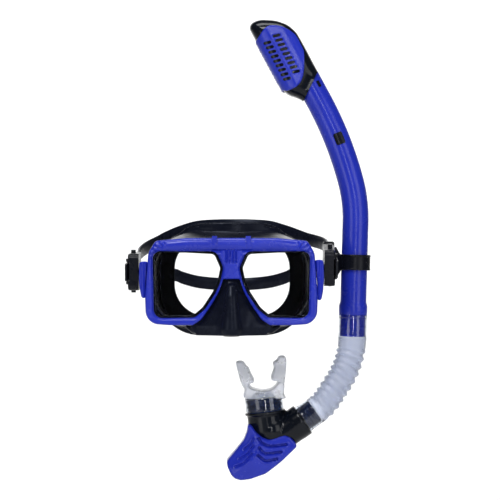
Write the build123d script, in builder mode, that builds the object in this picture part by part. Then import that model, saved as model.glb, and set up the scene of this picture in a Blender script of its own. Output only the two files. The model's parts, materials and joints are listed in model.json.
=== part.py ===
from build123d import *
from math import cos, radians, sin
import os

# A two-window diving mask with its split strap, and a dry-top snorkel held on the strap by a keeper.
# Millimetres. +X is the wearer's left, +Y points from the lenses to the face, +Z is up.
# The origin is the middle of the face seal.

os.makedirs("parts", exist_ok=True)

# ---- driving dimensions: mask -------------------------------------------------------------------
BEZEL_FRONT = -50.0
LENS_FRONT = -47.0
BEZEL_BACK = -44.0
FLANGE_BACK = -41.5
RETAINER_BACK = -38.0
LENS_SEAT = 1.6
LENS_FIT = 0.1
SKIRT_LIP = 0.9
FACE_RADIUS = 105.0
SEAL_THICKNESS = 2.5
SKIRT_WALL = 3.0
FRAME_HALF = [
    (0, 42.4), (42, 42.4), (70, 39.8), (76.5, 29), (79.5, -12), (78.6, -36.4),
    (57, -37.8), (35.5, -37.8), (27.5, -32.5), (17.5, -18), (11.5, -7), (7.6, 4.6), (0, 4.6),
]
FRAME_RADII = [30, 5, 12, 20, 13, 8, 3, 12, 20, 12, 1.5]
WINDOW = [
    (72.5, 30.2), (14, 30.2), (7.4, 15), (10.4, 1), (14.9, -9), (24.6, -23.5), (34, -31.0),
    (71.4, -31.4),
]
WINDOW_RADII = [7, 7, 9, 16, 16, 14, 6, 8]

# ---- driving dimensions: strap and buckles ------------------------------------------------------
PIVOT_X = 86.0
PIVOT_Y = -34.0
PIVOT_Z = {-1: 11.0, 1: 15.0}
BUCKLE_PITCH = {-1: 3.0, 1: 11.0}
STRAP_X = 92.5
STRAP_THICKNESS = 2.4
STRAP_HEIGHT = 26.0
STRAP_REACH = 38.0
STRAP_GAP = 0.5
STRAP_RADIUS = 93.0
STRAP_CENTRE_Y = 74.0
BAND_HEIGHT = 13.5
# each band's middle line: depth, height, and how much of the strap's height at the buckle is added
UPPER_BAND = [
    (80, 14.6, 0.9), (120, 31.9, 0.4), (135, 42.0, 0.1), (151, 51.0, 0), (160, 55.6, 0), (200, 59.5, 0),
]
LOWER_BAND = [(80, -9.1, 0.9), (120, 0.4, 0.4), (145, 5.5, 0), (151, 3.0, 0), (160, -2.0, 0), (200, -6.0, 0)]
SPLIT_Y = 32.0
BUCKLE_THICKNESS = 10.0
BUCKLE_HEIGHT = 34.0
ROLLER_RADIUS = 3.2
TRUNNION_RADIUS = 2.2
RUNNING = 0.08

# ---- driving dimensions: snorkel ----------------------------------------------------------------
SNORKEL_Y = 14.0
TUBE_RADIUS = 12.5
TUBE_BORE = 10.5
BARREL_LEAN = 1.6
KEEPER_Z = 19.5
KEEPER_X = 117.2
RING_HEIGHT = 14.6
RING_OUTER = 15.6
STRAIGHT_UP = 38.0
STRAIGHT_DOWN = 50.0
LOWER_ARC = (143.0, 16.6)
UPPER_ARC = (350.0, 13.5)
SPIGOT_RADIUS = 11.5
SPIGOT_LENGTH = 21.0
HOSE_RADIUS = 14.0
HOSE_BORE = 11.6
TOP_SPIGOT_RADIUS = 11.0
TOP_SPIGOT_BORE = 9.2
HOUSING_WIDTH = 39.0
HOUSING_DEPTH = 34.0
HOUSING_WALL = 2.0
HOUSING_OFFSET = 6.3
HOUSING_HEIGHT = 106.0
HOUSING_CORNER = 13.0
COVER_THICKNESS = 1.4
SEAT_HEIGHT = 50.0
FLAP_OPEN = 28.0
FLAP_HINGE = (13.4, 52.2)
FLAP_RADIUS = 10.4
FLAP_PIN_RADIUS = 1.1


def depth(y):
    """The upright sketch plane at depth y: local x is +X, local y is +Z, and it extrudes forwards."""
    return Plane.XZ.offset(-y)


def save(shape, name):
    """Label a finished sub-part and write it."""
    shape.label = name
    export_step(shape, f"parts/{name}.step")


def side_name(side):
    return "left" if side > 0 else "right"


# ---- outlines shared by the frames, the lenses and the skirt ------------------------------------
with BuildSketch() as frame_outline:
    with BuildLine():
        half = FilletPolyline(*FRAME_HALF, radius=FRAME_RADII)
        Line(half @ 0, half @ 1)
    make_face()
    mirror(about=Plane.YZ)

with BuildSketch() as window_outline:
    with BuildLine():
        FilletPolyline(*WINDOW, radius=WINDOW_RADII, close=True)
    make_face()
    mirror(about=Plane.YZ)


def grown(outline, amount):
    """The faces of an outline, grown or shrunk by an amount."""
    with BuildSketch(mode=Mode.PRIVATE) as result:
        for face in outline.sketch.faces():
            add(offset(face, amount=amount, mode=Mode.PRIVATE))
    return result.sketch


def slab(y_front, y_back, outline, mode=Mode.ADD):
    """Extrude an outline from one depth forwards to another."""
    with BuildSketch(depth(y_back)) as section:
        add(outline)
    extrude(section.sketch, amount=y_back - y_front, mode=mode)


# ---- mask frame ---------------------------------------------------------------------------------
with BuildPart() as front_bezel:
    slab(BEZEL_FRONT, BEZEL_BACK, frame_outline.sketch)
    front_rim = front_bezel.faces().sort_by(Axis.Y)[0].outer_wire().edges()
    chamfer(front_rim, 1.3)
    slab(BEZEL_FRONT - 1, BEZEL_BACK + 1, window_outline.sketch, Mode.SUBTRACT)
    slab(LENS_FRONT, BEZEL_BACK + 1, grown(window_outline, LENS_SEAT), Mode.SUBTRACT)
save(front_bezel.part, "front_bezel")

for side in (-1, 1):
    lens_faces = grown(window_outline, LENS_SEAT - LENS_FIT).faces().sort_by(Axis.X)
    lens_face = lens_faces[0] if side < 0 else lens_faces[-1]
    with BuildPart() as lens:
        slab(LENS_FRONT, BEZEL_BACK, lens_face)
    save(lens.part, f"lens_{side_name(side)}")

# ---- skirt --------------------------------------------------------------------------------------
CAVITY_REAR = 34.0
SKIRT_SECTIONS = [
    # depth, width, height, middle height, corner radius
    (FLANGE_BACK, 147.0, 72.0, 2.0, 22.0),
    (CAVITY_REAR, 146.0, 106.0, 3.5, 42.0),
]
NOSE_SECTIONS = [
    # height, half width at the back, behind the frame, between the frame's legs, at the front, front depth
    (6.4, 9.0, 10.6, 7.0, 2.4, -44.0),
    (4.0, 9.4, 10.8, 7.2, 2.6, -45.5),
    (-7.0, 13.0, 14.0, 10.8, 4.2, -49.5),
    (-20.0, 17.0, 21.4, 18.2, 5.6, -52.0),
    (-31.5, 23.0, 30.0, 25.8, 7.2, -53.4),
    (-39.0, 27.0, 38.0, 33.0, 7.8, -53.8),
    (-47.6, 27.0, 32.0, 28.0, 8.0, -53.0),
]
NOSE_BACK = -10.0
NOSE_WALL = 2.6
NOSE_CLEARANCE = 0.3


def wall_loft(inset, mode):
    """The skirt's outer wall, or its hollow when it is inset and subtracted."""
    sections = []
    for y, width, height, middle, corner in SKIRT_SECTIONS:
        with BuildSketch(depth(y)) as section:
            with Locations((0, middle)):
                RectangleRounded(width - 2 * inset, height - 2 * inset, corner - inset)
        sections.append(section.sketch)
    loft(sections, ruled=True, mode=mode)


def nose_loft(inset, back, mode):
    """The nose pocket, or its hollow when it is inset and subtracted."""
    sections = []
    for z, rear_half, behind_half, leg_half, front_half, front_y in NOSE_SECTIONS:
        lift = inset * (1.0 if z < -40 else 0.0) - inset * (2.2 if z > 5 else 0.0)
        rear, behind, leg = rear_half - inset, behind_half - inset, leg_half - inset
        front, flange_y, nose_front = front_half - inset * 0.6, BEZEL_BACK + inset, front_y + inset
        with BuildSketch(Plane.XY.offset(z + lift)) as section:
            Polygon(
                (-rear, back), (-behind, flange_y), (-leg, flange_y), (-front, nose_front - 0.1),
                (front, nose_front - 0.1), (leg, flange_y), (behind, flange_y), (rear, back), align=None,
            )
        sections.append(section.sketch)
    loft(sections, ruled=True, mode=mode)


with BuildPart() as skirt_outside:
    wall_loft(0, Mode.ADD)
    nose_loft(-0.2, NOSE_BACK, Mode.ADD)

with BuildPart() as rear_frame:
    slab(FLANGE_BACK, RETAINER_BACK, grown(frame_outline, -1.2))
    add(skirt_outside.part, mode=Mode.SUBTRACT)
save(rear_frame.part, "rear_frame")

with BuildPart() as skirt:
    slab(BEZEL_BACK, FLANGE_BACK, grown(frame_outline, -1.2))
    wall_loft(0, Mode.ADD)
    nose_loft(0, NOSE_BACK, Mode.ADD)
    slab(BEZEL_BACK - 1, FLANGE_BACK + 1, grown(window_outline, -SKIRT_LIP), Mode.SUBTRACT)
    slab(BEZEL_FRONT - 10, BEZEL_BACK, grown(frame_outline, NOSE_CLEARANCE), Mode.SUBTRACT)
    wall_loft(SKIRT_WALL, Mode.SUBTRACT)
    nose_loft(NOSE_WALL, NOSE_BACK - 3, Mode.SUBTRACT)
    with Locations((0, FACE_RADIUS, 0)):
        Cylinder(FACE_RADIUS, 200, mode=Mode.SUBTRACT)

with BuildPart() as seal_shell:
    with Locations((0, FACE_RADIUS, 0)):
        Cylinder(FACE_RADIUS + SEAL_THICKNESS, 200)
        Cylinder(FACE_RADIUS, 200, mode=Mode.SUBTRACT)
    with BuildSketch(depth(40)):
        with Locations((0, 3.2)):
            RectangleRounded(143, 101, 41)
        with Locations((0, 6)):
            RectangleRounded(110, 74, 30, mode=Mode.SUBTRACT)
    extrude(amount=60, mode=Mode.INTERSECT)

with BuildPart() as whole_skirt:
    add(skirt.part)
    add(seal_shell.part)
save(whole_skirt.part, "skirt")

# ---- bridge clips that hold the two frames together ---------------------------------------------
CLIP_X = 15.5
CLIP_WIDTH = 4.6
for side in (-1, 1):
    with BuildPart() as clip:
        with BuildSketch(Plane.YZ.offset(side * CLIP_X - CLIP_WIDTH / 2)):
            with BuildLine():
                Polyline(
                    (BEZEL_FRONT - 1.2, 37.5), (BEZEL_FRONT - 1.2, 44.2), (RETAINER_BACK + 1.4, 44.2),
                    (RETAINER_BACK + 1.4, 39.8), (RETAINER_BACK, 39.8), (RETAINER_BACK, 42.6),
                    (BEZEL_FRONT, 42.6), (BEZEL_FRONT, 37.5), close=True,
                )
            make_face()
        extrude(amount=CLIP_WIDTH)
    save(clip.part, f"frame_clip_{side_name(side)}")

# ---- strap brackets on the frame's sides, with their swivel pins --------------------------------
BRACKET_OUTER = 84.4
BRACKET_HEIGHT = 37.0
PIN_RADIUS = 3.0
for side in (-1, 1):
    pivot_z = PIVOT_Z[side]
    with BuildPart() as bracket:
        with BuildSketch(Plane.XY.offset(5.2 - BRACKET_HEIGHT / 2)):
            with BuildLine():
                Polyline(
                    (side * 79.2, BEZEL_BACK - 2), (side * 83.4, BEZEL_BACK), (side * BRACKET_OUTER, -40),
                    (side * BRACKET_OUTER, -28), (side * 80.4, -28), (side * 80.4, -37.6),
                    (side * 79.2, -37.6), close=True,
                )
            make_face()
        extrude(amount=BRACKET_HEIGHT)
        slab(BEZEL_FRONT, BEZEL_BACK, frame_outline.sketch, Mode.SUBTRACT)
        slab(BEZEL_BACK, RETAINER_BACK, grown(frame_outline, -1.2), Mode.SUBTRACT)
        with Locations(Plane((side * 82, PIVOT_Y, pivot_z), z_dir=(side, 0, 0))):
            Hole(PIN_RADIUS)
    save(bracket.part, f"buckle_bracket_{side_name(side)}")

    with BuildPart() as swivel_pin:
        with BuildSketch(Plane((side * 79.6, PIVOT_Y, pivot_z), z_dir=(side, 0, 0))):
            Circle(PIN_RADIUS)
        extrude(amount=14.4)
        with BuildSketch(Plane((side * 78.2, PIVOT_Y, pivot_z), z_dir=(side, 0, 0))):
            Circle(PIN_RADIUS + 0.5)
        extrude(amount=1.8)
    save(swivel_pin.part, f"buckle_pin_{side_name(side)}")


# ---- buckles: body, roller, release lever and its pin -------------------------------------------
def buckle_plane(side, out=0.0):
    """Local x runs back along the strap, local z points outwards, the origin is on the swivel pin."""
    pitch = radians(BUCKLE_PITCH[side])
    return Plane(
        (side * (PIVOT_X + out), PIVOT_Y, PIVOT_Z[side]),
        x_dir=(0, cos(pitch), sin(pitch)), z_dir=(side, 0, 0),
    )


def post_plane(side, along, out, from_middle):
    """A plane across the buckle: its normal runs up the buckle's height."""
    base = buckle_plane(side, out)
    place = base.origin + base.x_dir * along + base.y_dir * from_middle
    return Plane(place, x_dir=base.x_dir, z_dir=base.y_dir)


BUCKLE_START = -7.0
BUCKLE_END = 31.0
STRAP_OUT = STRAP_X - PIVOT_X
ROLLER_ALONG = 12.0
LEVER_ALONG = 6.0
for side in (-1, 1):
    name = side_name(side)
    length = BUCKLE_END - BUCKLE_START
    middle = (BUCKLE_END + BUCKLE_START) / 2
    with BuildPart() as buckle:
        with BuildSketch(buckle_plane(side)):
            with Locations((middle, 0)):
                RectangleRounded(length, BUCKLE_HEIGHT, 5)
        extrude(amount=BUCKLE_THICKNESS)
        fillet(buckle.edges().group_by(Axis.X)[0 if side < 0 else -1], 1.6)
        # the channel that the strap runs in, open to the back
        with BuildSketch(buckle_plane(side, STRAP_OUT - 2.4)):
            with Locations((BUCKLE_END, 0)):
                Rectangle(2 * (BUCKLE_END - ROLLER_ALONG + 6), STRAP_HEIGHT + 1.4)
        extrude(amount=4.6, mode=Mode.SUBTRACT)
        # room for the roller, open to the outside
        with BuildSketch(buckle_plane(side, STRAP_OUT - 4.2)):
            with Locations((ROLLER_ALONG, 0)):
                Rectangle(2 * ROLLER_RADIUS + 1.6, STRAP_HEIGHT + 1.4)
        extrude(amount=8.0, mode=Mode.SUBTRACT)
        # the bore for the swivel pin
        with BuildSketch(buckle_plane(side)):
            Circle(PIN_RADIUS + RUNNING)
        extrude(amount=8.2, mode=Mode.SUBTRACT)
        # the pocket under the release lever
        with BuildSketch(buckle_plane(side, BUCKLE_THICKNESS - 1.4)):
            with Locations((-1, 0)):
                Rectangle(16, 18)
        extrude(amount=3, mode=Mode.SUBTRACT)
        # the groove that the lever's knuckle turns in
        with BuildSketch(post_plane(side, LEVER_ALONG, BUCKLE_THICKNESS + 0.6, -8.4)):
            Circle(2.4)
        extrude(amount=16.8, mode=Mode.SUBTRACT)
        # the bores for the roller's trunnions
        with BuildSketch(post_plane(side, ROLLER_ALONG, STRAP_OUT - 0.6, -BUCKLE_HEIGHT)):
            Circle(TRUNNION_RADIUS + RUNNING)
        extrude(amount=2 * BUCKLE_HEIGHT, mode=Mode.SUBTRACT)
    save(buckle.part, f"buckle_body_{name}")

    with BuildPart() as roller:
        with BuildSketch(post_plane(side, ROLLER_ALONG, STRAP_OUT - 0.6, -STRAP_HEIGHT / 2)):
            Circle(ROLLER_RADIUS)
        extrude(amount=STRAP_HEIGHT)
        with BuildSketch(post_plane(side, ROLLER_ALONG, STRAP_OUT - 0.6, -BUCKLE_HEIGHT / 2 - 3)):
            Circle(TRUNNION_RADIUS)
        extrude(amount=BUCKLE_HEIGHT + 6)
    save(roller.part, f"strap_roller_{name}")

    with BuildPart() as lever:
        with BuildSketch(post_plane(side, LEVER_ALONG, BUCKLE_THICKNESS + 0.6, -8)):
            Circle(2.0)
            Circle(1.2 + RUNNING, mode=Mode.SUBTRACT)
        extrude(amount=16)
        with BuildSketch(buckle_plane(side, BUCKLE_THICKNESS + 0.4)):
            with Locations((-2.4, 0)):
                RectangleRounded(13.2, 16, 1.2)
        extrude(amount=2)
        with BuildSketch(post_plane(side, LEVER_ALONG, BUCKLE_THICKNESS + 0.6, -9)):
            Circle(1.2 + RUNNING)
        extrude(amount=18, mode=Mode.SUBTRACT)
    save(lever.part, f"release_lever_{name}")

    with BuildPart() as lever_pin:
        with BuildSketch(post_plane(side, LEVER_ALONG, BUCKLE_THICKNESS + 0.6, -12)):
            Circle(1.2)
        extrude(amount=24)
        for end in (-1, 1):
            foot = post_plane(side, LEVER_ALONG, BUCKLE_THICKNESS + 0.6, end * 10.6 - 1.4)
            with BuildSketch(foot):
                Circle(1.9)
            extrude(amount=2.8)
        with BuildSketch(buckle_plane(side)):
            Rectangle(60, 60)
        extrude(amount=BUCKLE_THICKNESS, mode=Mode.SUBTRACT)
    save(lever_pin.part, f"lever_pin_{name}")

    # the strap's ribbed end, held round the roller
    with BuildPart() as tail:
        with BuildSketch(buckle_plane(side, STRAP_OUT - STRAP_THICKNESS / 2)):
            with Locations(((ROLLER_ALONG + ROLLER_RADIUS + 1.2 + 44) / 2, 0)):
                Rectangle(44 - ROLLER_ALONG - ROLLER_RADIUS - 1.2, STRAP_HEIGHT)
        extrude(amount=STRAP_THICKNESS)
        with BuildSketch(buckle_plane(side)):
            Circle(STRAP_REACH)
        extrude(amount=20, mode=Mode.INTERSECT)
    save(tail.part, f"strap_end_{name}")

# ---- strap: one loop that splits into an upper and a lower band ---------------------------------
LEG_BACK_ANGLE = 5.4
STRAP_INNER = STRAP_X - STRAP_THICKNESS / 2
leg_end = (
    STRAP_RADIUS * cos(radians(LEG_BACK_ANGLE)),
    STRAP_CENTRE_Y + STRAP_RADIUS * sin(radians(LEG_BACK_ANGLE)),
)


def band_edge(band, front_z, shift):
    """One edge of a band in the side view; near the split it still follows the strap's own height."""
    return [(y, z + share * front_z + shift) for y, z, share in band]


def strap_half(side):
    """One half of the strap: the plan of its loop, cut to the side view of its two bands."""
    pitch = radians(BUCKLE_PITCH[side])
    front_z = PIVOT_Z[side] + STRAP_REACH * sin(pitch)
    start = (side * STRAP_INNER, PIVOT_Y + 30)
    with BuildPart() as half_strap:
        with BuildSketch(Plane.XY.offset(-40)):
            with BuildLine():
                leg = Line(start, (side * leg_end[0], leg_end[1]))
                bend = RadiusArc(leg @ 1, (0, STRAP_CENTRE_Y + STRAP_RADIUS), side * -STRAP_RADIUS)
                outer_bend = RadiusArc(
                    (0, STRAP_CENTRE_Y + STRAP_RADIUS + STRAP_THICKNESS),
                    (side * (leg_end[0] + STRAP_THICKNESS), leg_end[1]),
                    side * (STRAP_RADIUS + STRAP_THICKNESS),
                )
                Line(bend @ 1, outer_bend @ 0)
                Polyline(outer_bend @ 1, (start[0] + side * STRAP_THICKNESS, start[1]), start)
            make_face()
        extrude(amount=140)
        with BuildSketch(Plane.YZ.offset(-120)):
            with BuildLine():
                Polyline(
                    (PIVOT_Y + 20, front_z + STRAP_HEIGHT / 2),
                    (SPLIT_Y - 8, front_z + STRAP_HEIGHT / 2 + 1),
                    *band_edge(UPPER_BAND, front_z, BAND_HEIGHT / 2),
                    *reversed(band_edge(UPPER_BAND, front_z, -BAND_HEIGHT / 2)),
                    (SPLIT_Y, front_z + 0.6), (SPLIT_Y, front_z - 0.6),
                    *band_edge(LOWER_BAND, front_z, BAND_HEIGHT / 2),
                    *reversed(band_edge(LOWER_BAND, front_z, -BAND_HEIGHT / 2)),
                    (SPLIT_Y - 8, front_z - STRAP_HEIGHT / 2 - 1),
                    (PIVOT_Y + 20, front_z - STRAP_HEIGHT / 2),
                    close=True,
                )
            make_face()
        extrude(amount=240, mode=Mode.INTERSECT)
        with BuildSketch(buckle_plane(side, -20)):
            Circle(STRAP_REACH + STRAP_GAP)
        extrude(amount=60, mode=Mode.SUBTRACT)
    return half_strap.part


strap_halves = [strap_half(side) for side in (-1, 1)]
with BuildPart() as strap:
    for piece in strap_halves:
        add(piece)
save(strap.part, "strap")

# ---- keeper: clip on the strap, pivot pin, ring -------------------------------------------------
KEEPER_Y = SNORKEL_Y
CLIP_IN = 87.0
CLIP_OUT = 97.6
CLIP_LENGTH = 15.0
CLIP_OPENING = (CLIP_IN + 2.2, CLIP_OUT - 3.0)
CLIP_SLOT_HEIGHT = STRAP_HEIGHT + 9
with BuildPart() as keeper_clip:
    with BuildSketch(depth(KEEPER_Y + CLIP_LENGTH / 2)):
        with Locations(((CLIP_IN + CLIP_OUT) / 2, KEEPER_Z)):
            RectangleRounded(CLIP_OUT - CLIP_IN, CLIP_SLOT_HEIGHT + 5, 2)
        with Locations((sum(CLIP_OPENING) / 2, KEEPER_Z)):
            Rectangle(CLIP_OPENING[1] - CLIP_OPENING[0], CLIP_SLOT_HEIGHT, mode=Mode.SUBTRACT)
    extrude(amount=CLIP_LENGTH)
save(keeper_clip.part, "keeper_clip")

KEEPER_PIN_RADIUS = 2.6
with BuildPart() as keeper_pin:
    with BuildSketch(Plane((CLIP_OUT, KEEPER_Y, KEEPER_Z), z_dir=(1, 0, 0))):
        Circle(KEEPER_PIN_RADIUS)
    extrude(amount=3.6)
save(keeper_pin.part, "keeper_pin")

barrel_up = (sin(radians(BARREL_LEAN)), 0, cos(radians(BARREL_LEAN)))
ring_plane = Plane((KEEPER_X, SNORKEL_Y, KEEPER_Z), x_dir=(0, 1, 0), z_dir=barrel_up)
with BuildPart() as keeper_ring:
    with BuildSketch(ring_plane.offset(-RING_HEIGHT / 2)):
        Circle(RING_OUTER)
    extrude(amount=RING_HEIGHT)
    # the web flares from the ring to a tall foot beside the clip
    with BuildSketch(Plane.XZ.offset(-(KEEPER_Y + 6))):
        with BuildLine():
            foot = CLIP_OUT + 0.4
            Polyline((112, KEEPER_Z - 7), (foot, KEEPER_Z - 15), (foot, KEEPER_Z + 15), (112, KEEPER_Z + 7))
            Line((112, KEEPER_Z + 7), (112, KEEPER_Z - 7))
        make_face()
    extrude(amount=12)
    with BuildSketch(ring_plane.offset(-40)):
        Circle(TUBE_RADIUS + RUNNING)
    extrude(amount=80, mode=Mode.SUBTRACT)
    with BuildSketch(Plane((CLIP_OUT, KEEPER_Y, KEEPER_Z), z_dir=(1, 0, 0))):
        Circle(KEEPER_PIN_RADIUS + RUNNING)
    extrude(amount=4.0, mode=Mode.SUBTRACT)
save(keeper_ring.part, "keeper_ring")

# ---- snorkel barrel -----------------------------------------------------------------------------
lean = radians(BARREL_LEAN)
straight_low = (KEEPER_X - STRAIGHT_DOWN * sin(lean), KEEPER_Z - STRAIGHT_DOWN * cos(lean))
straight_top = (KEEPER_X + STRAIGHT_UP * sin(lean), KEEPER_Z + STRAIGHT_UP * cos(lean))
with BuildLine(depth(SNORKEL_Y)) as barrel_path:
    Line(straight_low, straight_top)
    bend_1 = JernArc(straight_top, (sin(lean), cos(lean)), LOWER_ARC[0], LOWER_ARC[1])
    bend_2 = JernArc(bend_1.end_of_arc, bend_1 % 1, UPPER_ARC[0], UPPER_ARC[1])
top_angle = radians(LOWER_ARC[1] + UPPER_ARC[1] - BARREL_LEAN)
top_point = bend_2 @ 1
top_plane = Plane(top_point, x_dir=(-cos(top_angle), 0, -sin(top_angle)), z_dir=(-sin(top_angle), 0, cos(top_angle)))

# the housing's lower rim is cut slanting across the tube, and again below its front
RIM_HEIGHT = 15.6
RIM_SLOPE = radians(36.0)
rim_angle = top_angle + RIM_SLOPE
rim_plane = Plane(
    top_plane.from_local_coords((0, 0, RIM_HEIGHT)), x_dir=(0, 1, 0), z_dir=(-sin(rim_angle), 0, cos(rim_angle))
)
chin_angle = top_angle - radians(52.0)
chin_plane = Plane(
    top_plane.from_local_coords((12, 0, 2.5)), x_dir=(0, 1, 0), z_dir=(-sin(chin_angle), 0, cos(chin_angle))
)
roof_plane = Plane(top_plane.from_local_coords((7.3, 0, 88.5)), x_dir=(0, 1, 0), z_dir=(0.1, 0, 1))
crown_plane = Plane(top_plane.from_local_coords((-5.0, 0, 84.0)), x_dir=(0, 1, 0), z_dir=(0.545, 0, 0.84))
# the top plane's side view: local x as the top plane's, local y up the tube
side_view = Plane(top_point, x_dir=top_plane.x_dir, z_dir=(0, 1, 0))

with BuildPart() as barrel_neck:
    with BuildSketch(top_plane):
        Circle(TUBE_RADIUS)
        Circle(TUBE_BORE, mode=Mode.SUBTRACT)
    extrude(amount=40)
    split(bisect_by=rim_plane, keep=Keep.BOTTOM)

with BuildPart() as barrel:
    with BuildSketch(ring_plane.offset(-STRAIGHT_DOWN)):
        Circle(TUBE_RADIUS)
        Circle(TUBE_BORE, mode=Mode.SUBTRACT)
    sweep(path=barrel_path.wires()[0])
    add(barrel_neck.part)
    with BuildSketch(top_plane.offset(-3)):
        Circle(TOP_SPIGOT_RADIUS)
        Circle(TOP_SPIGOT_BORE, mode=Mode.SUBTRACT)
    extrude(amount=SEAT_HEIGHT)
    with BuildSketch(ring_plane.offset(-STRAIGHT_DOWN)):
        Circle(SPIGOT_RADIUS)
        Circle(SPIGOT_RADIUS - 1.8, mode=Mode.SUBTRACT)
    extrude(amount=-SPIGOT_LENGTH)
    with BuildSketch(ring_plane.offset(-STRAIGHT_DOWN)):
        Circle(TUBE_RADIUS)
        Circle(SPIGOT_RADIUS - 1.8, mode=Mode.SUBTRACT)
    extrude(amount=2)
save(barrel.part, "barrel")


# ---- dry top ------------------------------------------------------------------------------------
# the top plane's local x points to the front of the housing, local z up the tube
def housing_section(plane, inset=0.0):
    """The housing's rounded section at a plane."""
    with BuildSketch(plane) as section:
        with Locations((HOUSING_OFFSET, 0)):
            RectangleRounded(HOUSING_WIDTH - 2 * inset, HOUSING_DEPTH - 2 * inset, HOUSING_CORNER - inset)
    return section.sketch


CAVITY_FLOOR = 20.0
CAVITY_HEIGHT = 48.0
WINDOW_LOW = 32.0
WINDOW_HIGH = 75.0
with BuildPart() as housing:
    extrude(housing_section(top_plane.offset(2)), amount=HOUSING_HEIGHT)
    split(bisect_by=roof_plane, keep=Keep.BOTTOM)
    fillet(housing.faces().sort_by(Axis.Z)[-1].edges(), 3.0)
    split(bisect_by=crown_plane, keep=Keep.BOTTOM)
    split(bisect_by=rim_plane, keep=Keep.TOP)
    split(bisect_by=chin_plane, keep=Keep.TOP)
    extrude(
        housing_section(top_plane.offset(CAVITY_FLOOR), HOUSING_WALL), amount=CAVITY_HEIGHT, mode=Mode.SUBTRACT
    )
    with BuildSketch(top_plane.offset(-5)):
        Circle(TOP_SPIGOT_RADIUS + 0.05)
    extrude(amount=SEAT_HEIGHT, mode=Mode.SUBTRACT)
    # windows behind the louvres, on both flanks
    with BuildSketch(side_view.offset(-30)):
        with Locations((11.6, (WINDOW_LOW + WINDOW_HIGH - 10) / 2)):
            RectangleRounded(19, WINDOW_HIGH - 10 - WINDOW_LOW, 3)
    extrude(amount=60, mode=Mode.SUBTRACT)
save(housing.part, "dry_top_housing")

COVER_OUTLINE = [
    (29, 26), (29, 77), (24.5, 80), (15.3, 83), (8.4, 83), (0, 78.5), (-9.8, 64.8), (-9.4, 46.7),
    (2.6, 26.8), (13.2, 20.6), (22, 21.4),
]
COVER_RADII = [4, 3, 6, 4, 6, 8, 9, 12, 6, 4, 4]
SLOT_COUNT = 9
SLOT_PITCH = 4.85
SLOT_HEIGHT = 2.4
with BuildPart() as cover:
    extrude(housing_section(top_plane.offset(15), -COVER_THICKNESS), amount=76)
    extrude(housing_section(top_plane.offset(14), -0.05), amount=78, mode=Mode.SUBTRACT)
    with BuildSketch(side_view.offset(-30)):
        with BuildLine():
            FilletPolyline(*COVER_OUTLINE, radius=COVER_RADII, close=True)
        make_face()
    extrude(amount=60, mode=Mode.INTERSECT)
    for row in range(SLOT_COUNT):
        up = 34.7 + row * SLOT_PITCH
        with BuildSketch(side_view.offset(-30)):
            with Locations((7.4, up), (18.4, up - 2)):
                RectangleRounded(7, SLOT_HEIGHT, 1)
        extrude(amount=60, mode=Mode.SUBTRACT)
save(cover.part, "dry_top_cover")

with BuildPart() as valve_seat:
    with BuildSketch(top_plane.offset(SEAT_HEIGHT - 3)):
        Circle(TOP_SPIGOT_RADIUS)
        Circle(8.4, mode=Mode.SUBTRACT)
    extrude(amount=3)
save(valve_seat.part, "valve_seat")

hinge_point = top_plane.from_local_coords((FLAP_HINGE[0], 0, FLAP_HINGE[1]))
flap_angle = top_angle + radians(FLAP_OPEN)
# local x runs from the hinge over the seat, local z away from the seat
flap_plane = Plane(
    hinge_point, x_dir=(cos(flap_angle), 0, sin(flap_angle)), z_dir=(-sin(flap_angle), 0, cos(flap_angle))
)
hinge_plane = Plane(hinge_point, x_dir=(1, 0, 0), z_dir=(0, 1, 0))
with BuildPart() as flap:
    with BuildSketch(flap_plane.offset(-1.2)):
        with Locations((FLAP_HINGE[0], 0)):
            Circle(FLAP_RADIUS)
        with Locations((3, 0)):
            Rectangle(8, 10)
        with Locations((-4.5, 0)):
            Rectangle(7, 7)
    extrude(amount=1.6)
    with BuildSketch(hinge_plane.offset(-6)):
        Circle(2.2)
    extrude(amount=12)
    with BuildSketch(hinge_plane.offset(-8)):
        Circle(FLAP_PIN_RADIUS + RUNNING)
    extrude(amount=16, mode=Mode.SUBTRACT)
save(flap.part, "valve_flap")

with BuildPart() as flap_seal:
    with BuildSketch(flap_plane.offset(-1.9)):
        with Locations((FLAP_HINGE[0], 0)):
            Circle(9.8)
    extrude(amount=0.7)
save(flap_seal.part, "flap_seal")

with BuildPart() as flap_pin:
    with BuildSketch(hinge_plane.offset(-10.6)):
        Circle(FLAP_PIN_RADIUS)
    extrude(amount=21.2)
save(flap_pin.part, "flap_pin")

with BuildPart() as float_guide:
    with BuildSketch(top_plane.offset(CAVITY_FLOOR)):
        with Locations((17.4, 0)):
            Rectangle(9.6, 19.2)
    extrude(amount=2)
    with BuildSketch(top_plane.offset(CAVITY_FLOOR)):
        with Locations((14.4, 9.6), (14.4, -9.6)):
            Rectangle(4.4, 2)
    extrude(amount=FLAP_HINGE[1] + 3 - CAVITY_FLOOR)
    with BuildSketch(top_plane.offset(CAVITY_FLOOR - 1)):
        Circle(TOP_SPIGOT_RADIUS + 0.3)
    extrude(amount=60, mode=Mode.SUBTRACT)
    with BuildSketch(hinge_plane.offset(-15)):
        Circle(FLAP_PIN_RADIUS)
    extrude(amount=30, mode=Mode.SUBTRACT)
save(float_guide.part, "float_guide")

with BuildPart() as float_block:
    with BuildSketch(top_plane.offset(CAVITY_FLOOR + 3.5)):
        with Locations((17.6, 0)):
            RectangleRounded(10.2, 15.2, 2)
    extrude(amount=19.0)
save(float_block.part, "float")

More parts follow.
